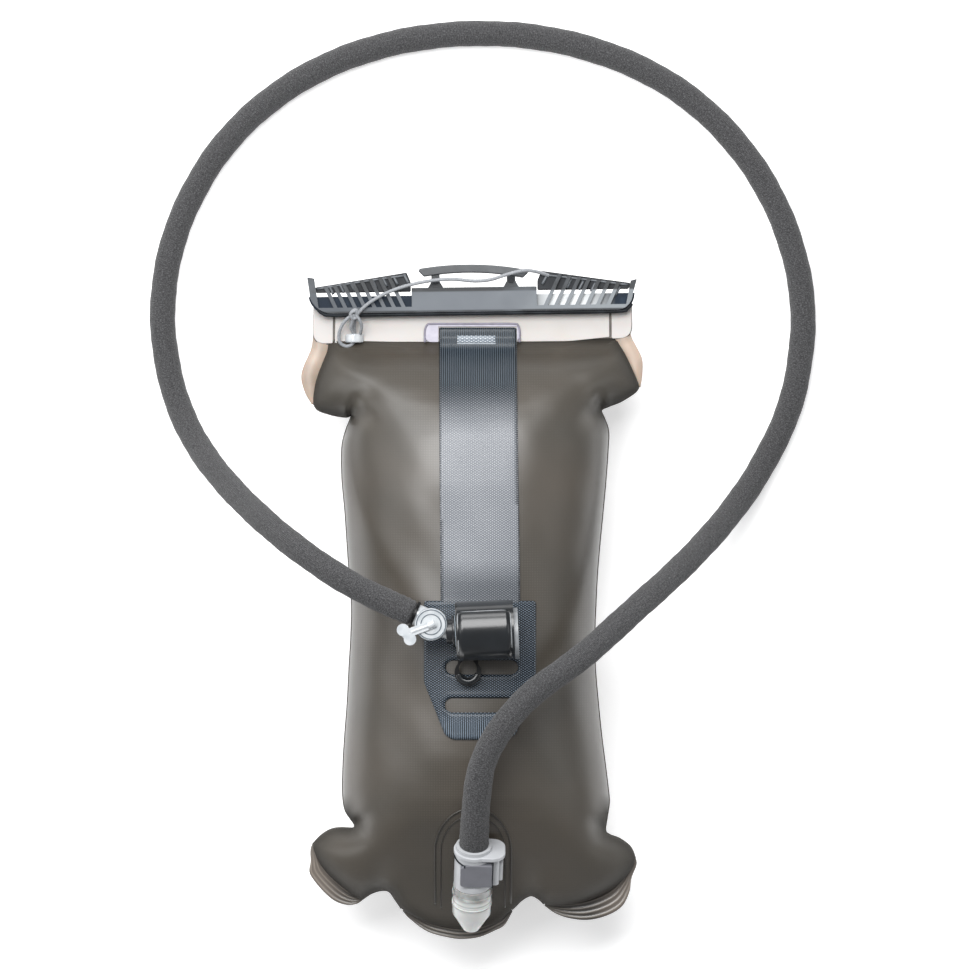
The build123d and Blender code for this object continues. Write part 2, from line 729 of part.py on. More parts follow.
def tube(points, radius, bore=0.0):
    """Solid of a cord along straight runs joined by tangent arcs."""
    with BuildPart() as solid:
        with BuildLine():
            path = FilletPolyline(*points, radius=corner_radii(points))
        with BuildSketch(Plane(origin=points[0], z_dir=points[1] - points[0])):
            Circle(radius)
            if bore > 0:
                Circle(bore, mode=Mode.SUBTRACT)
        sweep(path=path)
    section = math.pi * (radius**2 - bore**2)
    print("volume over section times length", round(solid.part.volume / (section * path.length), 4))
    print("length", round(path.length, 1), "radii", [round(r) for r in corner_radii(points)])
    return solid.part


save(tube(hose_route, HOSE_RADIUS, SLEEVE_BORE), "hose_sleeve")
save(tube(hose_route, TUBE_RADIUS, TUBE_BORE), "hose_tube")


# ---- Shut-off valve at the hose's end, along the hose ----
hose_end = hose_route[-1]
hose_heading = (hose_route[-1] - hose_route[-2]).normalized()
valve_plane = Plane(origin=hose_end, x_dir=(0, 0, 1), z_dir=hose_heading)
cover_turn = math.radians(COVER_TILT)
cover_plane = Plane(
    origin=(-8.5, -14.6, VALVE_Z),
    x_dir=(0, 0, 1),
    z_dir=(math.cos(cover_turn), math.sin(cover_turn), 0),
)
KEY = (-20.7, -11.0)
KEY_RADIUS = 8.3
KEY_TOP = VALVE_Z + 6.4
NECK_START = -4.5
RING_WIDTH = 1.6

with BuildPart() as sleeve_ring:
    with BuildSketch(valve_plane):
        Circle(HOSE_RADIUS + 0.3)
        Circle(TUBE_BORE + 0.2, mode=Mode.SUBTRACT)
    extrude(amount=RING_WIDTH)
save(sleeve_ring.part, "sleeve_ring")

STEM_Z = VALVE_Z + 1.5
KEY_STEM = 2.2
with BuildPart() as valve_body:
    with BuildSketch(valve_plane.offset(-8.0)):
        Circle(TUBE_BORE)
    extrude(amount=10.0)
    with BuildSketch(valve_plane.offset(RING_WIDTH)):
        Circle(5.6)
    extrude(amount=22.0)
    with BuildSketch(Plane.XY.offset(VALVE_Z - 6.2)):
        with Locations(KEY):
            Circle(KEY_RADIUS)
    extrude(amount=KEY_TOP - VALVE_Z + 6.2)
    split(bisect_by=cover_plane.offset(NECK_START), keep=Keep.BOTTOM)
    with BuildSketch(Plane.XY.offset(STEM_Z)):
        with Locations(KEY):
            Circle(KEY_STEM + RUNNING)
    extrude(amount=10.0, mode=Mode.SUBTRACT)
    with BuildSketch(Plane.XY.offset(KEY_TOP - 3.0)):
        with Locations(KEY):
            Circle(3.6)
    extrude(amount=1.6, mode=Mode.SUBTRACT)
    with BuildSketch(valve_plane.offset(-9.0)):
        Circle(1.9)
    extrude(amount=12.0, mode=Mode.SUBTRACT)
save(valve_body.part, "valve_body")

LEVER_LOW = KEY_TOP + 0.3
GRIP_LOBES = ((-35.1, -13.8), (-31.5, -18.5))
ARM_LENGTH = 14.0
with BuildPart() as shutoff_lever:
    with BuildSketch(Plane.XY.offset(LEVER_LOW)):
        with Locations(KEY):
            Circle(KEY_RADIUS - 0.3)
    extrude(amount=1.6)
    with BuildSketch(Plane.XY.offset(LEVER_LOW + 0.6)):
        with Locations(Location((KEY[0], KEY[1]), 201.0)):
            with Locations((ARM_LENGTH / 2 - 1.5, 0)):
                RectangleRounded(ARM_LENGTH + 3.0, 4.4, 2.0)
    extrude(amount=2.2)
    with BuildSketch(Plane.XY.offset(LEVER_LOW)):
        with Locations(*GRIP_LOBES):
            Circle(3.2)
    extrude(amount=3.4)
    with BuildSketch(Plane.XY.offset(LEVER_LOW)):
        with Locations(((GRIP_LOBES[0][0] + GRIP_LOBES[1][0]) / 2, (GRIP_LOBES[0][1] + GRIP_LOBES[1][1]) / 2)):
            Circle(2.4)
    extrude(amount=3.0)
    with BuildSketch(Plane.XY.offset(STEM_Z + 0.3)):
        with Locations(KEY):
            Circle(KEY_STEM)
    extrude(amount=LEVER_LOW - STEM_Z - 0.3)
save(shutoff_lever.part, "shutoff_lever")

with BuildPart() as lever_o_ring:
    with BuildSketch(Plane.XZ.offset(-KEY[1])):
        with Locations((KEY[0] + KEY_STEM + 0.6, KEY_TOP - 2.2)):
            Circle(0.58)
    revolve(axis=Axis((KEY[0], KEY[1], 0), (0, 0, 1)))
save(lever_o_ring.part, "lever_o_ring")

# ---- Mouthpiece and its cover, along the cover's axis ----
SPIGOT = 3.6
with BuildPart() as bite_neck:
    with BuildSketch(cover_plane.offset(NECK_START)):
        Circle(6.4)
    extrude(amount=-NECK_START - 1.2)
    with BuildSketch(cover_plane.offset(-1.2)):
        Circle(8.2)
    extrude(amount=1.2)
    with BuildSketch(cover_plane):
        Circle(SPIGOT)
    extrude(amount=7.0)
    with BuildSketch(cover_plane.offset(NECK_START)):
        Circle(2.0)
    extrude(amount=13.0, mode=Mode.SUBTRACT)
save(bite_neck.part, "bite_neck")

BITE_LENGTH = 18.5
with BuildPart() as bite_valve:
    with BuildSketch(cover_plane):
        Circle(8.0)
    with BuildSketch(cover_plane.offset(7.0)):
        Circle(9.6)
    with BuildSketch(cover_plane.offset(15.0)):
        Ellipse(9.0, 7.5)
    loft()
    with BuildSketch(cover_plane.offset(15.0)):
        Ellipse(9.0, 7.5)
    with BuildSketch(cover_plane.offset(BITE_LENGTH)):
        Ellipse(6.5, 4.5)
    loft()
    with BuildSketch(cover_plane):
        Circle(SPIGOT)
    extrude(amount=13.0, mode=Mode.SUBTRACT)
save(bite_valve.part, "bite_valve")

COVER_START = 0.4
with BuildPart() as dust_cover:
    with BuildSketch(cover_plane.offset(COVER_START)):
        Circle(COVER_RADIUS)
    extrude(amount=COVER_LENGTH)
    fillet(dust_cover.edges().sort_by(Axis.X)[0], radius=1.2)
    with BuildSketch(cover_plane.offset(COVER_START + COVER_LENGTH)):
        with Locations((0, 2.4)):
            Circle(13.2)
    extrude(amount=2.2)
    with BuildSketch(cover_plane.offset(COVER_START)):
        Circle(COVER_RADIUS - 3.0)
    extrude(amount=COVER_LENGTH - COVER_WALL, mode=Mode.SUBTRACT)
save(dust_cover.part, "dust_cover")

LEASH_Z = 97.2
LEASH_THICK = 2.0
with BuildPart() as cover_leash:
    with BuildSketch(Plane.XY.offset(LEASH_Z)):
        with Locations((-1.8, -36.0)):
            Circle(6.9)
        with Locations((-1.8, -27.5)):
            Rectangle(10.4, 11.0)
        with Locations((-1.8, -34.0)):
            Circle(4.6, mode=Mode.SUBTRACT)
        with Locations((-1.8, -27.0)):
            Rectangle(5.6, 8.0, mode=Mode.SUBTRACT)
    extrude(amount=LEASH_THICK)
    add(dust_cover.part, mode=Mode.SUBTRACT)
save(cover_leash.part, "cover_leash")


# ---- Tether from the slider to its clip on the front lip ----
CLIP_RADIUS = 4.0
CLIP_WIRE = 1.8
CLIP_WIDTH = 4.6
CLIP = (-61.0, 137.0)
with BuildPart() as tether_clip:
    with BuildSketch(Plane.XY.offset(LIP_FACE)):
        with Locations((CLIP[0] + CLIP_RADIUS, CLIP[1])):
            RectangleRounded(CLIP_WIRE, CLIP_WIDTH, 0.8)
    revolve(axis=Axis((CLIP[0], CLIP[1], LIP_FACE), (0, 1, 0)))
    split(bisect_by=Plane.XY.offset(LIP_FACE), keep=Keep.TOP)
save(tether_clip.part, "tether_clip")

TETHER_Z = SEAM_Z + SLIDER_HALF + RIB + TETHER_RADIUS + 3.0
tether_route = [
    Vector(40.0, 169.6, SEAM_Z + SLIDER_HALF),
    Vector(31.0, 173.0, TETHER_Z - 0.6),
    Vector(20.0, 170.6, TETHER_Z),
    Vector(6.0, 165.8, TETHER_Z),
    Vector(-13.0, 168.2, TETHER_Z),
    Vector(-34.0, 164.6, TETHER_Z),
    Vector(-50.0, 158.0, TETHER_Z),
    Vector(-60.0, 149.6, TETHER_Z - 2.0),
    Vector(-61.4, 142.6, 50.6),
    Vector(-61.0, 134.8, 49.2),
]
save(tube(tether_route, TETHER_RADIUS), "tether_cord")
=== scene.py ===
"""Looks of a filled drink reservoir with its hose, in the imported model's frame.

Lengths in the tables are in mm, unless a comment says metres.
"""

import json
import math

import bmesh
import bpy
import numpy as np
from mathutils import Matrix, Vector
from mathutils.geometry import delaunay_2d_cdt

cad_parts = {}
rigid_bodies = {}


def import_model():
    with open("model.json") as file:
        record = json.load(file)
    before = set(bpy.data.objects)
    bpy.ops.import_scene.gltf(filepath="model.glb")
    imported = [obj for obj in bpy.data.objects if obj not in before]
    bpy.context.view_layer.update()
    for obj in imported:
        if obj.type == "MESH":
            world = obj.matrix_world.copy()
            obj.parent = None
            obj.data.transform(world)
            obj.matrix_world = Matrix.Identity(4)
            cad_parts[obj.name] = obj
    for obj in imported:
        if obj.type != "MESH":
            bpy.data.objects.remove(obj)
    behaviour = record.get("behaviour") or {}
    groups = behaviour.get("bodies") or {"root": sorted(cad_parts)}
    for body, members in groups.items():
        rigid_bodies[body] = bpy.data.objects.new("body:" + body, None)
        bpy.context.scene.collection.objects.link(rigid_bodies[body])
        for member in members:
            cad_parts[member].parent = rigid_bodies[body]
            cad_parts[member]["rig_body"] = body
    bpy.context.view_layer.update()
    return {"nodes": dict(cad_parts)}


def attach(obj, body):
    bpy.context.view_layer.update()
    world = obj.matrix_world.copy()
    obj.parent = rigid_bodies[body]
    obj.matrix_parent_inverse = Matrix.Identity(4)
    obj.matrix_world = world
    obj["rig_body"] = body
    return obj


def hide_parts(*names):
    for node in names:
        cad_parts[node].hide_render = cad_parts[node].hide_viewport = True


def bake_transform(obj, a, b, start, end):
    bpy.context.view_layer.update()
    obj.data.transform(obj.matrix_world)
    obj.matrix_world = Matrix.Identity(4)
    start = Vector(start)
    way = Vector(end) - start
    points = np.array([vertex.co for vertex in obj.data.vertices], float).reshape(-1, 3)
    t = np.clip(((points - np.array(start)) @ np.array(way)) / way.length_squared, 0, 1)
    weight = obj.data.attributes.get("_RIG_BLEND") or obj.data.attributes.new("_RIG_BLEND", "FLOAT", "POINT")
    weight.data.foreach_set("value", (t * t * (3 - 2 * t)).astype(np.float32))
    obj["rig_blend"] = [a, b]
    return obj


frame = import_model()
nodes = frame["nodes"]
scene = bpy.context.scene

MM = 0.001
SEAM = 46.0  # height of the seam between the two films
CLOSURE_Y = 149.5
CLOSURE_UP = (-0.0133, 1, 0)  # square to the closure, which lies slightly askew


# ---- Materials ----
def rgba(text):
    """Linear colour of a hex colour."""
    values = [int(text[i : i + 2], 16) / 255 for i in (0, 2, 4)]
    return [v / 12.92 if v < 0.04045 else ((v + 0.055) / 1.055) ** 2.4 for v in values] + [1.0]


class Finish:
    """A Principled material with its nodes."""

    def __init__(self, name, color, roughness=0.5, **values):
        self.material = bpy.data.materials.new(name)
        self.material.use_nodes = True
        self.tree = self.material.node_tree
        self.shader = self.tree.nodes["Principled BSDF"]
        self.color = color
        self.height = None
        for socket, value in {"Base_Color": rgba(color), "Roughness": roughness, **values}.items():
            self.shader.inputs[socket.replace("_", " ")].default_value = value

    def node(self, kind, inputs=None, **properties):
        """A new node; inputs maps a socket's name or index to a value or another socket."""
        made = self.tree.nodes.new(kind)
        for name, value in properties.items():
            setattr(made, name, value)
        for key, value in (inputs or {}).items():
            if isinstance(value, bpy.types.NodeSocket):
                self.tree.links.new(value, made.inputs[key])
            else:
                made.inputs[key].default_value = value
        return made

    def link(self, socket, name):
        self.tree.links.new(socket, self.shader.inputs[name])

    def math(self, operation, *values):
        return self.node("ShaderNodeMath", dict(enumerate(values)), operation=operation).outputs[0]

    def wave(self, value, pitch):
        """Sine of a place in mm, with one turn for each pitch."""
        return self.math("SINE", self.math("MULTIPLY", value, 2 * math.pi / pitch))

    def place(self, scale=(1, 1, 1), uv=False, turn=0.0):
        """Object coordinates in mm, or the mesh's own map in mm, scaled."""
        source = self.node("ShaderNodeTexCoord").outputs["UV" if uv else "Object"]
        factor = 1.0 if uv else 1 / MM
        settings = {"Scale": [s * factor for s in scale], "Rotation": (0, 0, turn)}
        return self.node("ShaderNodeMapping", {"Vector": source, **settings}).outputs[0]

    def split(self, vector):
        return self.node("ShaderNodeSeparateXYZ", {"Vector": vector}).outputs

    def noise(self, scale, detail=3.0, stretch=(1, 1, 1), uv=False, rough=0.5):
        """Noise with that many features per mm."""
        settings = {"Scale": scale, "Detail": detail, "Roughness": rough}
        return self.node("ShaderNodeTexNoise", {"Vector": self.place(stretch, uv), **settings}).outputs["Fac"]

    def ramp(self, value, low, high):
        """Maps low..high to 0..1."""
        settings = {"Value": value, "From Min": low, "From Max": high}
        return self.node("ShaderNodeMapRange", settings).outputs["Result"]

    def along(self, origin, direction):
        """Distance in mm along a direction from a place."""
        offset = self.node("ShaderNodeVectorMath", {0: self.place(), 1: origin}, operation="SUBTRACT")
        inputs = {0: offset.outputs[0], 1: direction}
        return self.node("ShaderNodeVectorMath", inputs, operation="DOT_PRODUCT").outputs["Value"]

    def band(self, value, low, high, soft):
        """1 between low and high, fading over soft."""
        rise = self.ramp(value, low - soft, low + soft)
        fall = self.ramp(value, high + soft, high - soft)
        return self.math("MULTIPLY", rise, fall)

    def attribute(self, name):
        return self.node("ShaderNodeAttribute", attribute_name=name).outputs["Fac"]

    def blend(self, share, one, other):
        """Colour socket between two colours, each hex or a socket."""
        ends = [rgba(color) if isinstance(color, str) else color for color in (one, other)]
        return self.node("ShaderNodeMix", {0: share, 6: ends[0], 7: ends[1]}, data_type="RGBA").outputs[2]

    def tint(self, share, color):
        """Mixes a colour, hex or a socket, in by share."""
        links = self.shader.inputs["Base Color"].links
        before = links[0].from_socket if links else self.color
        self.link(self.blend(share, before, color), "Base Color")
        return self

    def vary(self, scale, color, low=0.4, high=0.7, **options):
        """Mottles the colour with noise."""
        return self.tint(self.ramp(self.noise(scale, **options), low, high), color)

    def bump(self, height, strength, distance):
        """Adds a bump of height times distance in mm."""
        settings = {"Height": height, "Strength": strength, "Distance": distance * MM}
        if self.height:
            settings["Normal"] = self.height
        self.height = self.node("ShaderNodeBump", settings).outputs[0]
        self.link(self.height, "Normal")
        return self

    def grain(self, scale, strength, distance=0.05, **options):
        return self.bump(self.noise(scale, **options), strength, distance)


FILM_ROUGHNESS = 0.42
FILM_COAT = 0.65
THREAD_PITCH = 1.3


def film_finish(name, color, warm):
    """Coated film over a faint grid of threads."""
    made = Finish(name, color, FILM_ROUGHNESS, IOR=1.5, Coat_Weight=FILM_COAT, Coat_Roughness=0.34)
    made.vary(0.02, warm, 0.35, 0.75, detail=2.0)
    made.grain(1.6, 0.25, 0.03)
    split = made.split(made.place())
    threads = made.math("ADD", made.wave(split[0], THREAD_PITCH), made.wave(split[1], THREAD_PITCH))
    made.tint(made.ramp(threads, 0.4, 20.0), "9a9389")
    made.bump(threads, 0.12, 0.03)
    made.grain(0.06, 0.35, 0.8, detail=2.0)
    return made


film_front_finish = film_finish("film_smoky", "39352e", "423b32")
# Painted highlight: the front film turns lighter along its creases.
film_front_finish.tint(film_front_finish.attribute("crease_highlight"), "5d5850")
film_back_finish = film_finish("film_back", "39352e", "403930")
for film in (film_front_finish, film_back_finish):
    # Towards the weld the film is matt, and darkened by painted shade.
    rim_shade_and_matt = film.attribute("rim")
    film.tint(film.math("MULTIPLY", rim_shade_and_matt, 0.6), "16140f")
    film.link(film.math("MULTIPLY_ADD", rim_shade_and_matt, -FILM_COAT, FILM_COAT), "Coat Weight")
    film.link(film.math("MULTIPLY_ADD", rim_shade_and_matt, 0.5, FILM_ROUGHNESS), "Roughness")
arch_finish = film_finish("film_arch", "26231e", "2c2822")

wing_finish = Finish("wing_film", "b5a394", 0.35, IOR=1.5, Subsurface_Weight=0.2, Subsurface_Scale=0.003)
wing_finish.vary(0.05, "98897c", 0.4, 0.7, detail=2.0).grain(0.9, 0.2, 0.05)

band_finish = Finish("weld_band", "27241f", 0.34, IOR=1.5, Coat_Weight=0.4, Coat_Roughness=0.25)
band_finish.tint(band_finish.attribute("ridge"), "7b746c")
band_finish.tint(band_finish.attribute("pale"), "a3968a").grain(0.8, 0.2, 0.06)

lip_finish = Finish("lip_white", "bcb8b5", 0.42, Subsurface_Weight=0.1, Subsurface_Scale=0.002)
lip_finish.vary(0.03, "b3ada7", 0.45, 0.75, detail=2.0).grain(0.5, 0.15, 0.05)
lip_edge_finish = Finish("lip_edge", "4b4641", 0.5).vary(0.2, "625c55")

COARSE = (2.5, 0.3, 0.03)
MEDIUM = (2.2, 0.25, 0.03)


def moulded(name, color, roughness, spots, size, grain=COARSE, **values):
    """A moulded material with faint spots and a grain of (scale, strength, distance)."""
    return Finish(name, color, roughness, **values).vary(size, spots).grain(*grain)


rim_film_finish = moulded("film_rim", "34302a", 0.4, "423d36", 0.2, (1.5, 0.2, 0.04))
frame_finish = moulded("frame_panel", "b4b1bd", 0.35, "a6a3b1", 0.3, (1.0, 0.2, 0.04))
frame_line_finish = moulded("frame_line", "83808f", 0.3, "76737f", 0.4, (1.0, 0.2, 0.04))
rim_finish = moulded("webbing_rim", "8e959c", 0.35, "a0a6ac", 0.4, (1.2, 0.2, 0.05))
rail_finish = moulded("rail_plastic", "292b2e", 0.5, "36383b", 0.08, Specular_IOR_Level=0.15)
# Painted highlight: the teeth and the rails' edges are paler than the rails.
tooth_highlight_finish = moulded("rail_tooth", "5b5f64", 0.4, "4c5054", 0.2)
bridge_finish = moulded("bridge_plastic", "3b3e41", 0.38, "4a4d50", 0.08)
# Painted shade: near black, for the slider's lower edge and the plug's slit, crescent and the spot at its
# end.
painted_shade_finish = moulded("slider_painted_shade", "16181b", 0.5, "292d32", 0.08, Specular_IOR_Level=0.12)
plug_finish = moulded("plug_plastic", "b6b8bb", 0.38, "abadb0", 0.08, MEDIUM)
panel_finish = moulded("plug_panel", "6d6e74", 0.5, "65666c", 0.1, MEDIUM)
button_finish = moulded("button_plastic", "b4b6b8", 0.38, "a9abae", 0.1, MEDIUM)
# Painted shade: dark lines where the clear plastic's ring edges look dark.
clear_edge_shade_finish = moulded("clear_edge_shade", "59626a", 0.15, "646c73", 0.4, (0.5, 0.08, 0.05))
rubber_finish = moulded(
    "black_rubber", "09090a", 0.32, "151617", 0.2, (2.0, 0.3, 0.04), Specular_IOR_Level=0.25
)
neck_finish = moulded("neck_plastic", "1d1f22", 0.25, "26282c", 0.2, (2.0, 0.15, 0.03))
# Painted highlight: light grey for the cover's end disc and its panel's edge.
cover_rim_highlight_finish = moulded("cover_rim_highlight", "8c8f92", 0.3, "74777a", 0.2, (2.0, 0.15, 0.03))
silicone_finish = moulded(
    "bite_silicone", "cfdde6", 0.3, "bccbd6", 0.1, (0.5, 0.1, 0.05), Transmission_Weight=0.4, IOR=1.42
)
steel_finish = Finish("spring_steel", "9b9b9b", 0.3, Metallic=1.0).vary(0.4, "838383")


def webbing(name, dark, light, dot, pitch, ribbed=(0, 0), painted_sheen=None):
    """Coated webbing with a fine diagonal emboss, ribbed lengthwise between two places along it;
    painted_sheen gives the colours of a painted sheen.
    """
    made = Finish(name, dark, 0.34, IOR=1.5)
    made.vary(0.05, light, 0.35, 0.75, detail=2.0)
    # Painted sheen: a paler colour where the lamps' reflection lies along the strap.
    if painted_sheen:
        made.tint(made.attribute("painted_sheen"), painted_sheen[0])
    slants = [made.place(uv=True, turn=math.radians(turn)) for turn in (33, -33)]
    threads = [made.wave(made.split(slant)[1], pitch) for slant in slants]
    dots = made.ramp(made.math("ADD", *threads), 0.35, 1.5)
    across, along, _ = made.split(made.place(uv=True))
    ribs = made.ramp(made.wave(across, 1.1), -0.2, 1.0)
    share = made.band(along, ribbed[0], ribbed[1], 3.0)
    pattern = made.node("ShaderNodeMix", {0: share, 2: dots, 3: ribs}).outputs[0]
    # The dots turn paler under the painted sheen.
    if painted_sheen:
        dot = made.blend(made.attribute("painted_sheen"), dot, painted_sheen[1])
    made.tint(made.math("MULTIPLY", pattern, 0.85), dot)
    stitches = made.ramp(made.wave(along, pitch), -0.4, 0.5)
    made.tint(made.math("MULTIPLY", made.attribute("edge"), stitches), "0d1115")
    return made.bump(pattern, 0.9, 0.2).grain(2.0, 0.2, 0.05)


# The strap's last pair of colours is its painted sheen.
strap_finish = webbing(
    "strap_webbing", "0f151b", "161d24", "5b6670", 1.08, ribbed=(112, 150), painted_sheen=("6c7077", "c6c8cb")
)
anchor_finish = webbing("anchor_webbing", "121920", "1b242c", "8391a0", 1.08, ribbed=(-75, -60))
hatch_finish = webbing("hatch_patch", "6a747e", "7a848e", "d5d8dc", 1.3)

slider_finish = Finish("slider_plastic", "62676d", 0.32, IOR=1.5, Specular_IOR_Level=0.35)
# Painted light and shade: the block is lighter towards its right end and darker towards its left end.
slider_across = slider_finish.along((0, 0, 0), (1, 0, 0))
slider_finish.tint(slider_finish.ramp(slider_across, 5, 70), "7d8286")
slider_finish.tint(slider_finish.ramp(slider_across, -30, -75), "3f444a")
slider_up = slider_finish.along((0, CLOSURE_Y, 0), CLOSURE_UP)
slider_finish.tint(slider_finish.band(slider_up, 11.9, 60, 0.4), "2b2e31")
# Painted shade: a dark band along the block's lower edge.
slider_finish.tint(slider_finish.band(slider_up, -5, 2.2, 0.35), "1e2125")
slider_finish.vary(0.04, "5b6066", 0.5, 0.8, detail=2.0).grain(2.5, 0.2, 0.02)

# Painted shade in the pockets behind the ribs, with painted light shining through them towards the block's
# right end.
pocket_light_and_shade_finish = Finish("slider_pocket_light_and_shade", "1c2632", 0.4, IOR=1.5, Specular_IOR_Level=0.12)
pocket_light_and_shade_finish.tint(pocket_light_and_shade_finish.band(pocket_light_and_shade_finish.along((0, 0, 0), (1, 0, 0)), 36, 66, 9), "dcdfe0")
pocket_light_and_shade_finish.vary(0.15, "2c3948", 0.55, 0.85).grain(2.5, 0.2, 0.02)

port_finish = Finish(
    "port_translucent", "dadcda", 0.2, Transmission_Weight=0.15, IOR=1.46, Subsurface_Weight=0.2,
    Subsurface_Scale=0.003,
)
port_along = port_finish.along((0.5, -146, 78), (0.03, 0.8477, 0.5297))
# The first band is a painted shadow of the plug inside the socket; the two thin ones are darker rings round
# it.
for low, high, soft, color in (
    (-5.5, 1.0, 1.6, "8f918f"),
    (-11.2, -10.6, 0.3, "8d8f8d"),
    (-8.6, -8.1, 0.3, "9c9e9c"),
):
    port_finish.tint(port_finish.band(port_along, low, high, soft), color)
port_finish.vary(0.1, "cfd1d0").grain(0.6, 0.1, 0.05)

clear_finish = Finish("clear_plastic", "e2e6e9", 0.1, Transmission_Weight=0.35, IOR=1.5, Coat_Weight=0.6)
clear_finish.vary(0.25, "cdd3d8", 0.45, 0.7).grain(0.4, 0.08, 0.05)
cover_finish = Finish(
    "cover_plastic", "101316", 0.3, IOR=1.5, Specular_IOR_Level=0.15, Coat_Weight=0.9, Coat_Roughness=0.2,
    Coat_IOR=1.55,
)
cover_finish.vary(0.06, "181c20", 0.4, 0.7, detail=2.0).grain(0.15, 0.05, 0.02)
tether_finish = Finish("tether_cord", "999ca0", 0.55, Sheen_Weight=0.2)
tether_finish.vary(2.5, "6f7277", 0.4, 0.65).grain(3.5, 0.6, 0.1)

hose_finish = Finish("hose_knit", "353536", 0.85, Sheen_Weight=0.12, Sheen_Roughness=0.5, IOR=1.35)
hose_finish.vary(1.9, "6a6a6c", 0.44, 0.74, stretch=(1.0, 0.55, 1.0), uv=True, rough=0.7)
hose_finish.vary(0.8, "2b2b2c", 0.5, 0.8, stretch=(1.4, 0.4, 1.0), uv=True)
knit_along, knit_across, _ = hose_finish.split(hose_finish.place(uv=True))
wales = hose_finish.wave(knit_across, 0.95)
rows = hose_finish.wave(knit_along, 0.8)
hose_finish.bump(hose_finish.math("ADD", wales, rows), 0.5, 0.12)
hose_finish.grain(1.4, 0.8, 0.3, uv=True, rough=0.7)


# ---- Mesh helpers ----
def add(name, data):
    """A new object in the scene."""
    made = bpy.data.objects.new(name, data)
    scene.collection.objects.link(made)
    return made


def new_piece(name, points, faces, finish, body, replaces=(), uvs=None, angle=None):
    """A mesh piece from points in mm that rides on a body."""
    mesh = bpy.data.meshes.new(name)
    mesh.from_pydata([tuple(c * MM for c in p) for p in points], [], [tuple(map(int, f)) for f in faces])
    mesh.materials.append(finish.material)
    if uvs is not None:
        layer = mesh.uv_layers.new(name="UVMap")
        for loop in mesh.loops:
            layer.data[loop.index].uv = uvs[loop.vertex_index]
    tidy_normals(mesh)
    mesh.polygons.foreach_set("use_smooth", [True] * len(mesh.polygons))
    if angle:
        mesh.set_sharp_from_angle(angle=math.radians(angle))
    piece = add(name, mesh)
    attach(piece, body)
    if replaces:
        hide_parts(*replaces)
    return piece


def tidy_normals(mesh, merge=0.0):
    """Turns the faces outwards, after merging points nearer than that many metres."""
    made = bmesh.new()
    made.from_mesh(mesh)
    if merge:
        bmesh.ops.remove_doubles(made, verts=made.verts, dist=merge)
    bmesh.ops.recalc_face_normals(made, faces=made.faces)
    made.to_mesh(mesh)
    made.free()


def face_towards(piece, sign):
    """Turns a skin's faces up, with sign 1, or down, with -1."""
    up = np.array([p.normal.z for p in piece.data.polygons]).mean()
    if up * sign < 0:
        piece.data.flip_normals()


def soften(piece, width, segments=2, angle=50):
    """Rounds the edges sharper than an angle, over a width in mm."""
    edges = piece.modifiers.new("edges", "BEVEL")
    edges.width = width * MM
    edges.segments = segments
    edges.limit_method = "ANGLE"
    edges.angle_limit = math.radians(angle)
    edges.harden_normals = True


def thicken(piece, thickness, offset=-1):
    """Gives a skin a thickness in mm, behind its faces with offset -1, both ways with 0."""
    shell = piece.modifiers.new("thickness", "SOLIDIFY")
    shell.thickness = thickness * MM
    shell.offset = offset


def set_attribute(piece, name, values):
    """A per-point number the material reads."""
    made = piece.data.attributes.new(name, "FLOAT", "POINT")
    made.data.foreach_set("value", np.asarray(values, np.float32))


def dress(node, finish, bevel=0.3, segments=2, second=(), where=None):
    """A copy of a hard CAD part with softened edges; where(centre, normal) picks second's faces."""
    mesh = nodes[node].data.copy()
    mesh.materials.clear()
    for used in (finish, *second):
        mesh.materials.append(used.material)
    made = bmesh.new()
    made.from_mesh(mesh)
    bmesh.ops.remove_doubles(made, verts=made.verts, dist=2e-6)
    bmesh.ops.dissolve_limit(made, angle_limit=math.radians(1), verts=made.verts, edges=made.edges)
    made.to_mesh(mesh)
    made.free()
    if where:
        for polygon in mesh.polygons:
            polygon.material_index = where(polygon.center / MM, polygon.normal)
    for name in [a.name for a in mesh.attributes if a.name == "custom_normal"]:
        mesh.attributes.remove(mesh.attributes[name])
    mesh.polygons.foreach_set("use_smooth", [True] * len(mesh.polygons))
    piece = add(node + "_look", mesh)
    soften(piece, bevel, segments, angle=30)
    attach(piece, nodes[node]["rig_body"])
    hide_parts(node)


def tube_faces(rows, sides):
    """Faces of a tube with closed ends."""
    end = (rows - 1) * sides
    ends = [tuple(range(sides))[::-1], tuple(end + k for k in range(sides))]
    return [*grid_faces(rows, sides, close=True), *ends]


def bead(name, points, radius, finish, body, steps=8, closed=False, sides=10, replaces=()):
    """A round bead along a smooth line through points in mm."""
    line = curve_points([*points[-2:], *points, *points[:2]] if closed else points, steps)
    if closed:
        line = line[2 * steps : (len(points) + 2) * steps]
    _, side, up = frames_along(line)
    ring = np.linspace(0, 2 * math.pi, sides, endpoint=False)
    made = []
    for p, s, u in zip(line, side, up):
        made += [tuple(p + (s * math.cos(t) + u * math.sin(t)) * radius) for t in ring]
    if closed:
        # The last ring joins the first one, turned so that their nearest points meet.
        faces = grid_faces(len(line), sides, close=True)
        end = (len(line) - 1) * sides
        twist = min(range(sides), key=lambda k: np.linalg.norm(np.subtract(made[k], made[end])))
        for j in range(sides):
            k = (j + 1) % sides
            faces.append((end + j, end + k, (k + twist) % sides, (j + twist) % sides))
    else:
        faces = tube_faces(len(line), sides)
    return new_piece(name, made, faces, finish, body, replaces)


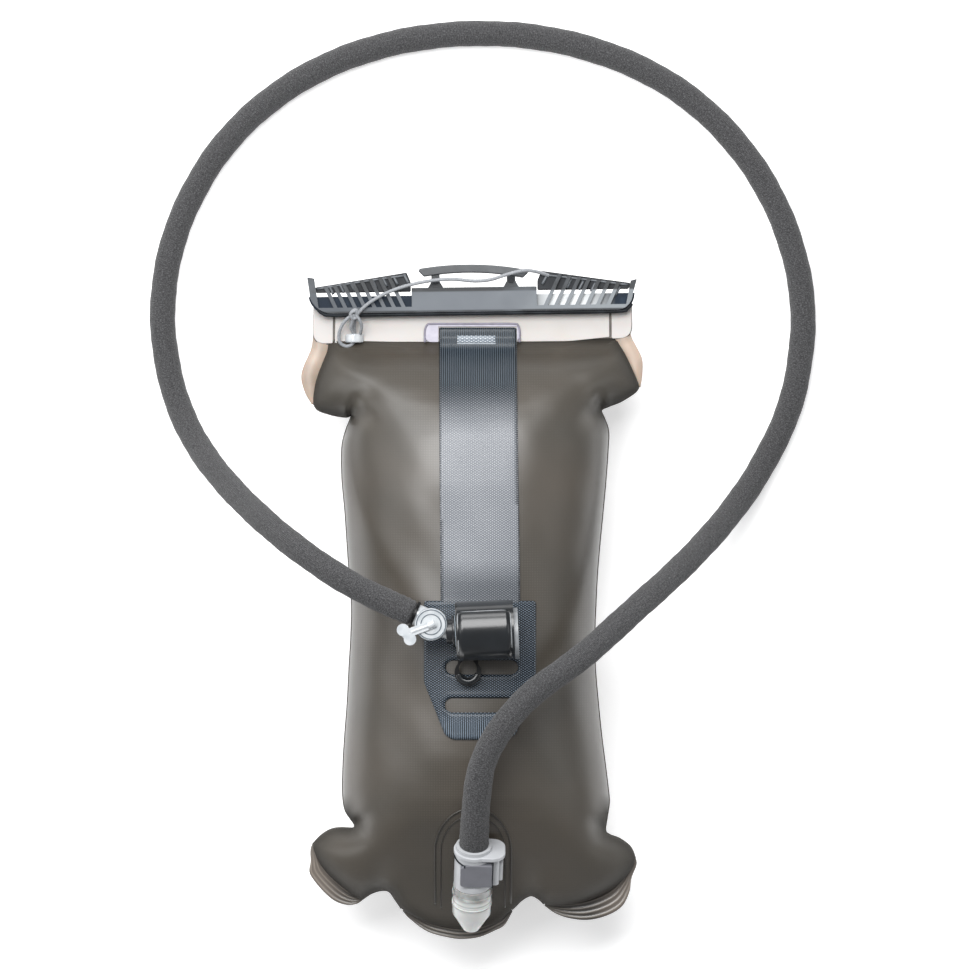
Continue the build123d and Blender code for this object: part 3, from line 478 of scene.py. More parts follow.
def frames_along(path):
    """Tangents and two square directions along a path, without twist."""
    ahead = np.gradient(path, axis=0)
    ahead /= np.linalg.norm(ahead, axis=1)[:, None]
    side = np.cross(ahead[0], (0, 0, 1.0))
    if np.linalg.norm(side) < 0.1:
        side = np.cross(ahead[0], (0, 1.0, 0))
    sides = []
    for t in ahead:
        side = side - t * (side @ t)
        side /= np.linalg.norm(side)
        sides.append(side.copy())
    sides = np.array(sides)
    return ahead, sides, np.cross(ahead, sides)


def curve_points(points, steps):
    """Catmull-Rom points through an open row of points, steps for each run."""
    p = [np.array(q, float) for q in points]
    p = [2 * p[0] - p[1], *p, 2 * p[-1] - p[-2]]
    made = []
    for a, b, c, d in zip(p, p[1:], p[2:], p[3:]):
        square, cube = 2 * a - 5 * b + 4 * c - d, 3 * b - a - 3 * c + d
        for t in np.arange(steps) / steps:
            made.append(0.5 * (2 * b + (c - a) * t + square * t**2 + cube * t**3))
    made.append(p[-2])
    return np.array(made)


def evenly(points, spacing):
    """Points at an even spacing along a line."""
    runs = np.linalg.norm(np.diff(points, axis=0), axis=1)
    along = np.concatenate([[0], np.cumsum(runs)])
    count = max(2, int(round(along[-1] / spacing)) + 1)
    at = np.linspace(0, along[-1], count)
    return np.stack([np.interp(at, along, points[:, k]) for k in range(points.shape[1])], axis=1)


def grid_faces(rows, columns, close=False):
    """Four-sided faces between rows of points, closed round each row if asked."""
    faces = []
    for i in range(rows - 1):
        for j in range(columns if close else columns - 1):
            k = (j + 1) % columns
            faces.append((i * columns + j, i * columns + k, (i + 1) * columns + k, (i + 1) * columns + j))
    return faces


# ---- Films: the outline, and a shape blown up inside it ----
# The films' edge, from the lip's left end down the left side, round the foot and up the right side.
FILM_EDGE = [
    (-74.5, 138), (-75.1, 131), (-77.1, 125.7), (-80.2, 117.7), (-81.8, 111.4), (-82.5, 103.5),
    (-80, 99.8), (-74, 97.6), (-68.5, 96.4), (-64.6, 96.2), (-62.4, 97.4), (-63.4, 94.2), (-65.4, 89),
    (-67.4, 80), (-67.3, 64), (-65.8, 47.5), (-64.7, 31), (-63.5, 14), (-62.3, -2), (-62.7, -19),
    (-63.7, -36), (-64.5, -52), (-65.8, -69), (-66.8, -85.5), (-67, -100), (-65.8, -108.4),
    (-63.2, -112.8), (-60.9, -116.2), (-61.8, -118.2), (-67.9, -118), (-73.1, -118.8), (-78.3, -121.9),
    (-82.6, -126.4), (-80.3, -134.4), (-76.2, -140.7), (-71, -145.9), (-64.7, -151.1), (-60.6, -154.2),
    (-57, -155.2), (-52.3, -152.1), (-47.1, -150.5), (-42.9, -151.1), (-39.8, -155.2), (-36.5, -160),
    (-31, -163.5), (-22, -167.8), (-10, -170.5), (0, -170.5), (10, -168.3), (17, -164), (21, -160.5),
    (22.8, -158.8), (26.5, -155.3), (31, -153.2), (35, -155), (37.8, -157.6), (42, -158.6),
    (46.5, -158.6), (54.9, -157.4), (63.9, -154.7), (72.8, -150.2), (79.5, -144.6), (83.4, -139.1),
    (85.2, -133.7), (82.8, -128.1), (77.2, -123.7), (71.9, -121.6), (69.7, -119.2), (70.5, -112.5),
    (71.6, -104.7), (71.1, -98), (69.6, -85.5), (67.5, -69), (65.8, -52), (64.4, -35.5), (64, -19),
    (64.6, -2), (65.4, 14), (66.8, 31), (68.4, 47.5), (69.9, 64), (71, 80), (71.2, 89), (69, 95.6),
    (67.6, 99.6), (71.8, 101.8), (78, 104.3), (85, 108.8), (87.2, 112), (86, 116), (83.3, 122.1),
    (79.8, 129.3), (76.6, 134.6), (75.8, 138),
]
# y, the front's height over the seam and the back's depth under it at most
HEIGHTS = [
    (139, 0.25, 0.25), (136.6, 0.25, 0.25), (135, 1.5, 1.5), (129, 9, 9), (120, 19.5, 19),
    (111, 27.5, 28), (103, 34, 36), (95, 39.5, 43), (86, 43.5, 47.5), (60, 47.6, 50), (20, 48.4, 50.5),
    (-30, 48.4, 50.5), (-80, 47.4, 50), (-102, 43.5, 46.5), (-112.5, 39, 40.5), (-120, 34, 34),
    (-128, 29, 28), (-138, 22.5, 21), (-150, 15.5, 14), (-162, 8.2, 7), (-171, 3, 3),
]
HALF_WIDTH = 64.0
FULLNESS = 2.25  # 2 would make the bag's section an ellipse, and more is fuller
FILM_SPACING = 2.4  # between the mesh's points away from the edge
EDGE_ROWS = (0.12, 0.5, 1.2, 2.3, 3.9)  # how far in the rows of points along the edge lie
REST = 1.2  # how gently the back flattens onto what it lies on
WAIST = (-98, 85)  # between these the film's edge gets only a little painted shade and matt finish

film_edge = evenly(curve_points(FILM_EDGE, 8), 1.5)
height_rows = np.array(HEIGHTS[::-1], float)


def seg_distance(points, loop):
    """Distance of each point to a closed loop, worked out for a batch of points at a time."""
    batch = 1500
    best = np.full(len(points), 1e9)
    run = np.roll(loop, -1, axis=0) - loop
    size = np.maximum((run**2).sum(1), 1e-12)
    for start in range(0, len(points), batch):
        p = points[start : start + batch, None, :]
        t = np.clip(((p - loop) * run).sum(2) / size, 0, 1)
        gap = p - (loop + t[..., None] * run)
        best[start : start + batch] = np.sqrt((gap**2).sum(2)).min(1)
    return best


def inside(points, loop):
    """Which points lie inside a closed loop."""
    crossed = np.zeros(len(points), bool)
    for (ax, ay), (bx, by) in zip(loop, np.roll(loop, -1, axis=0)):
        if ay == by:
            continue
        spans = (points[:, 1] > min(ay, by)) & (points[:, 1] <= max(ay, by))
        at = ax + (points[:, 1] - ay) / (by - ay) * (bx - ax)
        crossed ^= spans & (points[:, 0] < at)
    return crossed


def film_plan():
    """Points and triangles filling the films' edge, close together near it."""
    loop = film_edge
    ahead = np.roll(loop, -1, axis=0) - np.roll(loop, 1, axis=0)
    ahead /= np.linalg.norm(ahead, axis=1)[:, None]
    inward = np.stack([-ahead[:, 1], ahead[:, 0]], axis=1)
    found = []
    for depth in EDGE_ROWS:
        row = loop + inward * depth
        row = row[inside(row, loop)]
        found.append(row[seg_distance(row, loop) > depth * 0.93])
    low, high = loop.min(0), loop.max(0)
    xs = np.arange(low[0], high[0], FILM_SPACING)
    ys = np.arange(low[1], high[1], FILM_SPACING * 0.87)
    grid = np.array([(x + (k % 2) * FILM_SPACING / 2, y) for k, y in enumerate(ys) for x in xs])
    grid = grid[inside(grid, loop)]
    found.append(grid[seg_distance(grid, loop) > EDGE_ROWS[-1] + 1.0])
    points = [Vector(p) for p in loop] + [Vector(p) for row in found for p in row]
    rim = [(k, (k + 1) % len(loop)) for k in range(len(loop))]
    made = delaunay_2d_cdt(points, rim, [], 1, 1e-4)
    flat = np.array([tuple(p) for p in made[0]])
    return flat, np.array(made[2])


def blown(flat, faces, edge):
    """Solves the slack sheet's swelling: its Laplacian is -1 inside and it is 0 on the edge."""
    a, b, c = (flat[faces[:, k]] for k in range(3))
    weights = []
    pairs = []
    for p, q, r, i, j in ((a, b, c, 0, 1), (b, c, a, 1, 2), (c, a, b, 2, 0)):
        u, v = p - r, q - r
        cot = (u * v).sum(1) / np.maximum(np.abs(u[:, 0] * v[:, 1] - u[:, 1] * v[:, 0]), 1e-9)
        weights.append(cot / 2)
        pairs.append(faces[:, [i, j]])
    weights = np.clip(np.concatenate(weights), 1e-4, 50)
    pairs = np.concatenate(pairs)
    u, v = b - a, c - a
    third = np.abs(u[:, 0] * v[:, 1] - u[:, 1] * v[:, 0]) / 6
    count = len(flat)
    load = sum(np.bincount(faces[:, k], third, count) for k in range(3))
    diagonal = np.bincount(pairs[:, 0], weights, count) + np.bincount(pairs[:, 1], weights, count)
    free = ~edge

    def apply(x):
        y = diagonal * x
        y -= np.bincount(pairs[:, 0], weights * x[pairs[:, 1]], count)
        y -= np.bincount(pairs[:, 1], weights * x[pairs[:, 0]], count)
        return y * free

    x = np.zeros(count)
    residual = load * free
    z = residual / diagonal
    direction = z.copy()
    strength = residual @ z
    for _ in range(900):
        image = apply(direction)
        step = strength / (direction @ image)
        x += step * direction
        residual -= step * image
        z = residual / diagonal * free
        fresh = residual @ z
        if fresh < 1e-9 * (load @ load):
            break
        direction = z + fresh / strength * direction
        strength = fresh
    return np.maximum(x, 0)


film_flat, film_faces = film_plan()
film_depth = seg_distance(film_flat, film_edge)
swelling = blown(film_flat, film_faces, film_depth < 1e-3)
swollen = (2 * swelling / HALF_WIDTH**2) ** (1 / FULLNESS)

# start, end, width, depth of each crease, fading towards its end
CREASES = [
    ((-61.8, 95.5), (-60.2, 109), 1.3, 7.0),
    ((-66, 98), (-63.5, 109), 2.0, -2.6),
    ((-57.5, 96), (-56, 108), 2.4, -1.6),
    ((-61, 99), (-40, 84), 4.4, 3.2),
    ((-60, 103), (-44, 116), 4.0, 1.6),
    ((67.4, 99), (66.2, 112), 1.3, 6.5),
    ((71, 102), (69.5, 112), 2.0, -2.4),
    ((63, 99), (62, 110), 2.4, -1.4),
    ((67, 101), (50, 86), 4.4, 3.4),
    ((65, 104), (50, 117), 4.0, 1.4),
    ((-60.5, -116.5), (-47, -108), 3.0, 2.3),
    ((-62, -112), (-52, -103), 2.4, -1.6),
    ((-61, -117), (-50, -128), 4.5, 2.0),
    ((70, -119), (57, -112), 3.0, 3.0),
    ((69, -113), (60, -105), 2.4, -1.5),
    ((70, -120), (60, -130), 4.5, 1.6),
    ((-47, -151), (-44, -128), 4.5, 2.6),
    ((31, -153.5), (32, -130), 4.5, 2.6),
    ((-30, 133), (-33, 112), 3.0, 0.7),
    ((45, 133), (41, 108), 3.5, 0.8),
]


def creases(x, y):
    """Depth of the creases at a point."""
    total = np.zeros_like(x)
    for (ax, ay), (bx, by), width, depth in CREASES:
        run = np.array([bx - ax, by - ay], float)
        size = np.hypot(*run)
        run /= size
        along = ((x - ax) * run[0] + (y - ay) * run[1]) / size
        side = (x - ax) * -run[1] + (y - ay) * run[0]
        spread = width * (0.7 + 0.9 * np.clip(along, 0, 1))
        fade = np.clip(1 - along, 0, 1) ** 1.5 * np.clip(1 + along * 6, 0, 1)
        total += depth * fade * np.exp(-((side / spread) ** 2))
    return total


def ripples(x, y):
    """Slight unevenness of a filled film."""
    return (
        0.35 * np.sin(x * 0.115 + 1.3 * np.sin(y * 0.031)) * np.sin(y * 0.052 + 0.8)
        + 0.25 * np.sin(x * 0.062 - y * 0.083 + 2.0)
        + 0.12 * np.sin(x * 0.21 + y * 0.17)
    )


def film_height(flat, swell, side):
    """Height over the seam for the front, side 1, or depth under it for the back, side 2."""
    x, y = flat[:, 0], flat[:, 1]
    limit = np.interp(y, height_rows[:, 0], height_rows[:, side])
    full = np.interp(0.0, height_rows[:, 0], height_rows[:, side])
    raised = swell * full * 1.02
    soft = 2.2
    height = -soft * np.logaddexp(-raised / soft, -limit / soft)
    height = np.maximum(height, np.minimum(raised, limit) * 0.55)
    share = np.clip(height / 12, 0, 1)
    return np.maximum(height - share * creases(x, y) + share * ripples(x, y), 0)


class Surface:
    """Reads the front film's height at any place in plan."""

    def __init__(self, flat, height, cell=2.0):
        self.cell = cell
        self.low = flat.min(0) - 6
        size = np.ceil((flat.max(0) + 6 - self.low) / cell).astype(int) + 1
        total = np.zeros(size)
        weight = np.zeros(size)
        at = (flat - self.low) / cell
        base = np.floor(at).astype(int)
        for i in (-1, 0, 1, 2):
            for j in (-1, 0, 1, 2):
                spot = base + [i, j]
                gap = ((at - spot) ** 2).sum(1)
                w = np.exp(-gap * 1.6)
                np.add.at(total, tuple(spot.T), w * height)
                np.add.at(weight, tuple(spot.T), w)
        self.grid = total / np.maximum(weight, 1e-6)

    def __call__(self, x, y):
        at = (np.stack([np.asarray(x, float), np.asarray(y, float)], -1) - self.low) / self.cell
        base = np.clip(np.floor(at).astype(int), 0, np.array(self.grid.shape) - 2)
        f = at - base
        g = self.grid
        i, j = base[..., 0], base[..., 1]
        return (
            g[i, j] * (1 - f[..., 0]) * (1 - f[..., 1])
            + g[i + 1, j] * f[..., 0] * (1 - f[..., 1])
            + g[i, j + 1] * (1 - f[..., 0]) * f[..., 1]
            + g[i + 1, j + 1] * f[..., 0] * f[..., 1]
        )


def solid_film(name, side, sign, finish, replaces):
    """One film with its own thickness, its share of painted highlight along the creases and its share of
    painted shade and matt finish near the weld.
    """
    z = SEAM + sign * film_height(film_flat, swollen, side)
    if sign < 0:
        flattened = REST + REST * np.exp((np.minimum(z, 2 * REST) - 2 * REST) / REST)
        z = np.where(z < 2 * REST, flattened, z)
        z -= (REST - 0.05) * np.clip((12 - z) / 12, 0, 1) ** 2
    piece = new_piece(name, np.column_stack([film_flat, z]), film_faces, finish, "reservoir", [replaces])
    x, y = film_flat[:, 0], film_flat[:, 1]
    # Share of painted highlight along the creases.
    set_attribute(piece, "crease_highlight", np.clip(creases(x, y) / 6, 0, 0.4))
    # Painted shade and matt finish near the weld, weak along the waist.
    ends = np.clip(np.maximum(WAIST[0] - y, y - WAIST[1]) / 12, 0.15, 1)
    set_attribute(piece, "rim", ends * np.exp(-((film_depth / 5.5) ** 2)))
    face_towards(piece, sign)
    thicken(piece, 0.6)


solid_film("film_front", 1, 1, film_front_finish, "front_panel")
solid_film("film_back", 2, -1, film_back_finish, "back_panel")
film_top = Surface(film_flat, film_height(film_flat, swollen, 1))

# The thin welded rim where the films' edge is free, each run between two points of it.
FREE_EDGES = (
    ((-82.5, 103.5), (-82.6, -126.4)),
    ((-57, -155.2), (-36.5, -160)),
    ((21, -160.5), (37.8, -157.6)),
    ((85.2, -133.7), (87.2, 112)),
)
for number, (first, last) in enumerate(FREE_EDGES):
    rim = FILM_EDGE[FILM_EDGE.index(first) : FILM_EDGE.index(last) + 1]
    line = [(x, y, SEAM) for x, y in rim]
    bead("film_rim_%d" % number, line, 0.5, rim_film_finish, "reservoir", steps=6, sides=8)


# ---- Welded edges: each row is a point on the outer edge and one under the film ----
def weld_strip(pairs, ridges, bulge):
    """Points and faces of a closed strip with raised lines, and its shares of ridge and of pale edge."""
    columns = 33
    reach = 1.5  # how far the strip goes on under the film
    outer = curve_points([p[:2] for p in pairs], 5)
    inner = curve_points([p[2:] for p in pairs], 5)
    points = []
    ridge = []
    pale = []
    for sign in (1, -1):
        for o, i in zip(outer, inner):
            run = i - o
            size = max(np.hypot(*run), 1e-6)
            full = min(size / 5, 1)
            for t in np.linspace(0, 1, columns):
                p = o + run * (t * (1 + reach / size))
                line = sum(math.exp(-(((t - r) * size / 0.38) ** 2)) for r in ridges) * full
                rise = 0.35 + 0.3 * line + bulge * math.sin(math.pi * t) * full
                if t == 0:
                    rise = 0.0
                points.append((p[0], p[1], SEAM + sign * rise))
                ridge.append(min(line, 1) * 0.8)
                corner = np.clip((abs(p[0]) - 62) / 14, 0, 1)
                pale.append((max(0.0, 1 - abs(t - 0.97) * size / 0.9) + 0.35) * 0.8 * full * corner)
    rows = len(outer)
    faces = grid_faces(rows, columns)
    start = rows * columns
    faces += [tuple(start + k for k in f[::-1]) for f in faces]
    for k in range(rows - 1):
        a, b = k * columns + columns - 1, (k + 1) * columns + columns - 1
        faces.append((a, b, start + b, start + a))
    for row in (0, rows - 1):
        for k in range(columns - 1):
            a = row * columns + k
            faces.append((a, a + 1, start + a + 1, start + a))
    return points, faces, ridge, pale


def weld_piece(name, strips, finish, replaces, bulge=0.0):
    """A welded edge of one or more strips, each a table of pairs and the places of its ridges."""
    points, faces, ridge, pale = [], [], [], []
    for pairs, ridges in strips:
        strip_points, strip_faces, strip_ridge, strip_pale = weld_strip(pairs, ridges, bulge)
        faces += [tuple(len(points) + k for k in face) for face in strip_faces]
        points += strip_points
        ridge += strip_ridge
        pale += strip_pale
    piece = new_piece(name, points, faces, finish, "reservoir", [replaces])
    set_attribute(piece, "ridge", ridge)
    set_attribute(piece, "pale", pale)
    tidy_normals(piece.data, merge=1e-5)


WING_LEFT = [
    (-82.4, 142.5, -73.0, 142.5), (-82.6, 138, -74.4, 138), (-83.8, 131, -75.1, 131),
    (-87.6, 122.3, -78.4, 122.3), (-88.8, 116, -80.7, 116), (-86.6, 108.2, -82.0, 108.8),
    (-83.2, 102.4, -82.3, 103.2),
]
WING_RIGHT = [
    (82.6, 143.5, 75.0, 143.5), (83.2, 138, 75.8, 138), (86.6, 131.4, 78.6, 131.4),
    (89, 125.7, 81.6, 125.7), (89, 118, 85.0, 118), (88, 111.4, 87.2, 112),
]
LOBE_LEFT = [
    (-82.9, -126, -82.6, -126.6), (-84, -129.5, -81.8, -129.6), (-83.9, -135.5, -80.1, -134.5),
    (-84.5, -141, -77, -139.6), (-81.4, -146.3, -73.2, -143.8), (-76.2, -152.1, -69, -147.6),
    (-71, -156.2, -65.5, -150.5), (-64.8, -158.2, -62, -153.1), (-59.8, -157.6, -59.2, -154.8),
    (-57, -155.9, -56.8, -155.2),
]
LOBE_RIGHT = [
    (85.5, -133.4, 85.1, -133.9), (86, -137.2, 84.3, -136.8), (83.4, -144, 81.8, -141.4),
    (82.2, -151.5, 77.5, -146.6), (78.3, -159, 72.7, -150.3), (70.5, -163.7, 66, -153.9),
    (60.5, -166, 58, -156.6), (50.5, -165, 50, -158.2), (43.4, -162.4, 43.6, -158.6),
    (38, -158.6, 38.2, -157.8),
]
LOBE_MIDDLE = [
    (-36, -161.2, -35.6, -160.8), (-32, -165.6, -30.6, -163.6), (-22.6, -172.2, -21.4, -168),
    (-10.7, -175.4, -10, -170.4), (-3.4, -175.9, -2, -170.6), (4.4, -174.8, 4.2, -169.8),
    (12, -171.6, 11, -167.8), (17.2, -168.6, 16, -164.8), (21.4, -161.4, 20.8, -160.6),
]
weld_piece("wing_left", [(WING_LEFT, ())], wing_finish, "side_weld_left", bulge=1.2)
weld_piece("wing_right", [(WING_RIGHT, ())], wing_finish, "side_weld_right", bulge=1.2)
lobes = [
    (LOBE_LEFT, (0.12, 0.36, 0.6, 0.84)),
    (LOBE_MIDDLE, (0.12, 0.42, 0.72)),
    (LOBE_RIGHT, (0.12, 0.35, 0.58, 0.81)),
]
weld_piece("foot_weld", lobes, band_finish, "bottom_weld")


# ---- Lips ----
def prism(name, first, last, finish, body, bevel=0.3, replaces=()):
    """A slab between two rings of as many points, its edges softened."""
    count = len(first)
    faces = [tuple(range(count))[::-1], tuple(range(count, 2 * count))]
    faces += [(k, (k + 1) % count, count + (k + 1) % count, count + k) for k in range(count)]
    piece = new_piece(name, [*first, *last], faces, finish, body, replaces, angle=30)
    soften(piece, bevel)
    return piece


def rounded(corners, steps=6):
    """Closed outline through (x, y, radius) corners."""
    made = []
    count = len(corners)
    for k, (x, y, radius) in enumerate(corners):
        here = np.array([x, y])
        if radius <= 0:
            made.append(tuple(here))
            continue
        back = np.array(corners[k - 1][:2]) - here
        ahead = np.array(corners[(k + 1) % count][:2]) - here
        a, b = back / np.hypot(*back), ahead / np.hypot(*ahead)
        reach = radius / math.tan(math.acos(np.clip(a @ b, -1, 1)) / 2)
        start, end = here + a * reach, here + b * reach
        for step in range(steps + 1):
            t = step / steps
            made.append(tuple((1 - t) ** 2 * start + 2 * t * (1 - t) * here + t**2 * end))
    return made


# Corners as (x, y, radius) of a lip's middle, its tabs and the darker backing round them.
LIP_MAIN = [
    (-70.8, 157, 0), (-71.2, 134.2, 0.8), (-29, 134.5, 40), (51, 135.5, 40), (71.8, 137.6, 0.8),
    (71.6, 158.5, 0),
]
LIP_LEFT = [(-82.3, 156.5, 0), (-82.6, 134.0, 6.5), (-72.2, 134.4, 1.0), (-72, 156.8, 0)]
LIP_RIGHT = [(72.8, 158, 0), (73, 136.8, 1.0), (83.3, 137.2, 6.5), (83.4, 158, 0)]
LIP_BACKING = [
    (-82.4, 156, 0), (-82.9, 133.6, 6.8), (0, 133.9, 40), (72, 137.0, 2), (83.8, 136.6, 6.8),
    (83.6, 157, 0),
]
for side, sign, node in (("front", 1, "front_lip"), ("back", -1, "back_lip")):
    for name, corners, heights, finish, bevel in (
        ("lip_", LIP_MAIN, (0.35, 1.9), lip_finish, 0.3),
        ("lip_tab_left_", LIP_LEFT, (0.35, 1.9), lip_finish, 0.3),
        ("lip_tab_right_", LIP_RIGHT, (0.35, 1.9), lip_finish, 0.3),
        ("lip_backing_", LIP_BACKING, (0.2, 1.2), lip_edge_finish, 0.2),
    ):
        outline = rounded(corners)
        rings = [[(x, y, z) for x, y in outline] for z in sorted(SEAM + sign * h for h in heights)]
        stands_for = [node] if corners is LIP_MAIN else []
        lip = prism(name + side, *rings, finish, "reservoir", bevel, stands_for)


# ---- Strap, anchor and patch, laid on the film ----
def rest_height(x, y):
    """Height over the seam of the film, or of the lip beyond it."""
    on_lip = 2.0 * np.clip((y - 133.4) / 1.2, 0, 1)
    return np.maximum(film_top(x, y), on_lip)


def laid(name, outline, finish, lift, thickness, replaces=(), spacing=1.5, holes=(), rise=0.0):
    """A skin on the front film inside an outline, with holes, lying lift above the film."""
    loops = [evenly(np.array([*outline, outline[0]]), spacing)[:-1]]
    loops += [evenly(np.array([*hole, hole[0]]), spacing * 0.6)[:-1] for hole in holes]
    rims = []
    start = 0
    for loop in loops:
        rims += [(start + k, start + (k + 1) % len(loop)) for k in range(len(loop))]
        start += len(loop)
    low, high = loops[0].min(0), loops[0].max(0)
    xs = np.arange(low[0], high[0], spacing)
    ys = np.arange(low[1], high[1], spacing)
    grid = np.array([(x, y) for y in ys for x in xs])
    keep = inside(grid, loops[0])
    for loop in loops:
        keep &= seg_distance(grid, loop) > spacing * 0.55
    for hole in loops[1:]:
        keep &= ~inside(grid, hole)
    points = [Vector(p) for row in (*loops, grid[keep]) for p in row]
    made = delaunay_2d_cdt(points, rims, [], 1, 1e-4)
    flat = np.array([tuple(p) for p in made[0]])
    faces = []
    for face in made[2]:
        middle = flat[list(face)].mean(0)[None]
        if inside(middle, loops[0])[0] and not any(inside(middle, hole)[0] for hole in loops[1:]):
            faces.append(face)
    depth = np.minimum.reduce([seg_distance(flat, loop) for loop in loops])
    z = SEAM + rest_height(flat[:, 0], flat[:, 1]) + lift + thickness
    z = z + rise * np.exp(-(((depth - 1.0) / 0.7) ** 2)) - np.clip(0.5 - depth, 0, 1) * 0.5
    piece = new_piece(name, np.column_stack([flat, z]), faces, finish, "reservoir", replaces, uvs=flat)
    face_towards(piece, 1)
    thicken(piece, thickness)
    return piece, flat


def slot_hole(x, y, length, width, steps=10):
    """Outline of a slot with round ends."""
    half = (length - width) / 2
    made = []
    for side in (1, -1):
        for step in range(steps + 1):
            turn = side * math.pi / 2 - math.pi * step / steps
            made.append((x + side * half + width / 2 * math.cos(turn), y + width / 2 * math.sin(turn)))
    return made


STRAP = [(-16.9, 142.6), (-16.4, 66), (-15.9, -1.5), (25.2, -1.5), (24.2, 66), (23.3, 142.6)]
strap, strap_flat = laid("hand_strap_look", STRAP, strap_finish, 0.25, 1.0, ["hand_strap"], rise=0.2)
strap_y = strap_flat[:, 1]
# Painted sheen, strongest along the strap's middle.
set_attribute(strap, "painted_sheen", np.clip((112 - strap_y) / 26, 0, 1) * np.clip(strap_y / 24, 0.4, 0.9))
set_attribute(strap, "edge", seg_distance(strap_flat, np.array(STRAP, float)) < 0.1)
for name, low, high, finish, thickness, spacing in (
    ("strap_hatch_patch", 134.6, 138.4, hatch_finish, 0.25, 0.8),
    ("strap_hatch_edge", 133.7, 134.5, rim_finish, 0.35, 0.5),
):
    outline = [(-7.6, high), (-7.6, low), (12.8, low), (12.8, high)]
    laid(name, outline, finish, 1.3, thickness, spacing=spacing)

ANCHOR = rounded(
    [(-24.6, 0.8, 1.5), (33.4, 0.8, 1.5), (33.4, -41, 8), (22.6, -68.5, 4), (17, -70.8, 3), (-9.5, -70.8, 3),
     (-13.6, -68.5, 4), (-24.6, -41, 8)]
)
slots = (slot_hole(5.4, -33.5, 37.5, 7.3), slot_hole(4.4, -53.0, 36.4, 7.6))
anchor, _ = laid(
    "strap_anchor_look", ANCHOR, anchor_finish, 0.3, 0.9, ["strap_anchor"], holes=slots, rise=0.3
)


def arch(left, right, foot, top):
    """Half an oval over two straight legs."""
    middle = (left + right) / 2
    half = (right - left) / 2
    rise = min(half * 1.15, 24)
    turns = np.linspace(0, math.pi, 15)
    bow = [(middle - half * math.cos(t), top - rise + rise * math.sin(t)) for t in turns]
    return [(left, foot), *bow, (right, foot)]


def raised_line(name, points, radius, finish, sink=0.4, replaces=()):
    """A bead lying on the front film along a line in plan, sunk into it by a share of its radius."""
    line = evenly(curve_points(points, 6), 1.6)
    z = SEAM + rest_height(line[:, 0], line[:, 1]) + radius * (1 - sink)
    bead(name, [(*p, h) for p, h in zip(line, z)], radius, finish, "reservoir", steps=2, replaces=replaces)


# Welded arches round the drink port, and the edge of the strap's frame.
raised_line("port_arch_outer", arch(-18.9, 20.4, -157, -106.5), 0.6, arch_finish, 0.6, ["port_patch"])
raised_line("port_arch_inner", arch(-15.9, 17.4, -159, -110.3), 0.4, arch_finish, 0.6)
raised_line(
    "strap_frame_line",
    [(-24.3, 135.2), (-24.3, 140.5), (-23.4, 143.4), (-20.6, 144.4), (1, 144.5), (21.6, 144.5), (24.2, 143.4),
     (25.0, 140.5), (25.0, 135.2)],
    0.6, frame_line_finish, 0.2,
)


# ---- Cord, hose ----
def nurbs_mesh(name, points, radius=0.0):
    """Mesh of a smooth curve with the route's points, in metres, as its control points."""
    curve = bpy.data.curves.new(name, "CURVE")
    curve.dimensions = "3D"
    curve.resolution_u = 12
    spline = curve.splines.new("NURBS")
    spline.points.add(len(points) - 1)
    for point, place in zip(spline.points, points):
        point.co = (*place, 1.0)
    spline.order_u = 3
    spline.use_endpoint_u = True
    curve.bevel_depth = radius
    curve.bevel_resolution = 4
    curve.use_fill_caps = True
    route = add(name, curve)
    mesh = bpy.data.meshes.new_from_object(route)
    bpy.data.objects.remove(route)
    return mesh


# The port, the routes and their points are in metres.
PORT = np.array([0.0005, -0.146, 0.078])
PORT_AXIS = np.array([0.03, math.cos(math.radians(32)), math.sin(math.radians(32))])
PORT_AXIS /= np.linalg.norm(PORT_AXIS)
hose_start = PORT + PORT_AXIS * 0.0225
HOSE_ROUTE = [
    tuple(hose_start),
    tuple(hose_start + PORT_AXIS * 0.031),
    (0.0065, -0.0765, 0.1145),
    (0.0270, -0.0485, 0.117),
    (0.057, -0.0285, 0.1075),
    (0.083, -0.005, 0.082),
    (0.111, 0.019, 0.048),
    (0.1345, 0.044, 0.020),
    (0.1535, 0.071, 0.0068),
    (0.171, 0.1085, 0.0068),
    (0.176, 0.164, 0.0068),
    (0.155, 0.223, 0.0068),
    (0.111, 0.2705, 0.0068),
    (0.049, 0.296, 0.0068),
    (-0.019, 0.299, 0.0068),
    (-0.080, 0.282, 0.0068),
    (-0.127, 0.247, 0.0068),
    (-0.155, 0.200, 0.0068),
    (-0.164, 0.154, 0.0068),
    (-0.1585, 0.114, 0.0068),
    (-0.147, 0.086, 0.019),
    (-0.129, 0.062, 0.046),
    (-0.105, 0.0395, 0.081),
    (-0.082, 0.022, 0.101),
    (-0.0557, 0.0054, 0.1108),
    (-0.0299, -0.0055, 0.1108),
]
hose_path = np.array([tuple(v.co) for v in nurbs_mesh("hose_route", HOSE_ROUTE).vertices])

HOSE_RADIUS = 6.7
HOSE_SIDES = 28
fine_path = evenly(hose_path / MM, 1.6)
_, side_dir, up_dir = frames_along(fine_path)
hose_length = np.linalg.norm(np.diff(fine_path, axis=0), axis=1).sum()
hose_along = np.linspace(0, hose_length, len(fine_path))


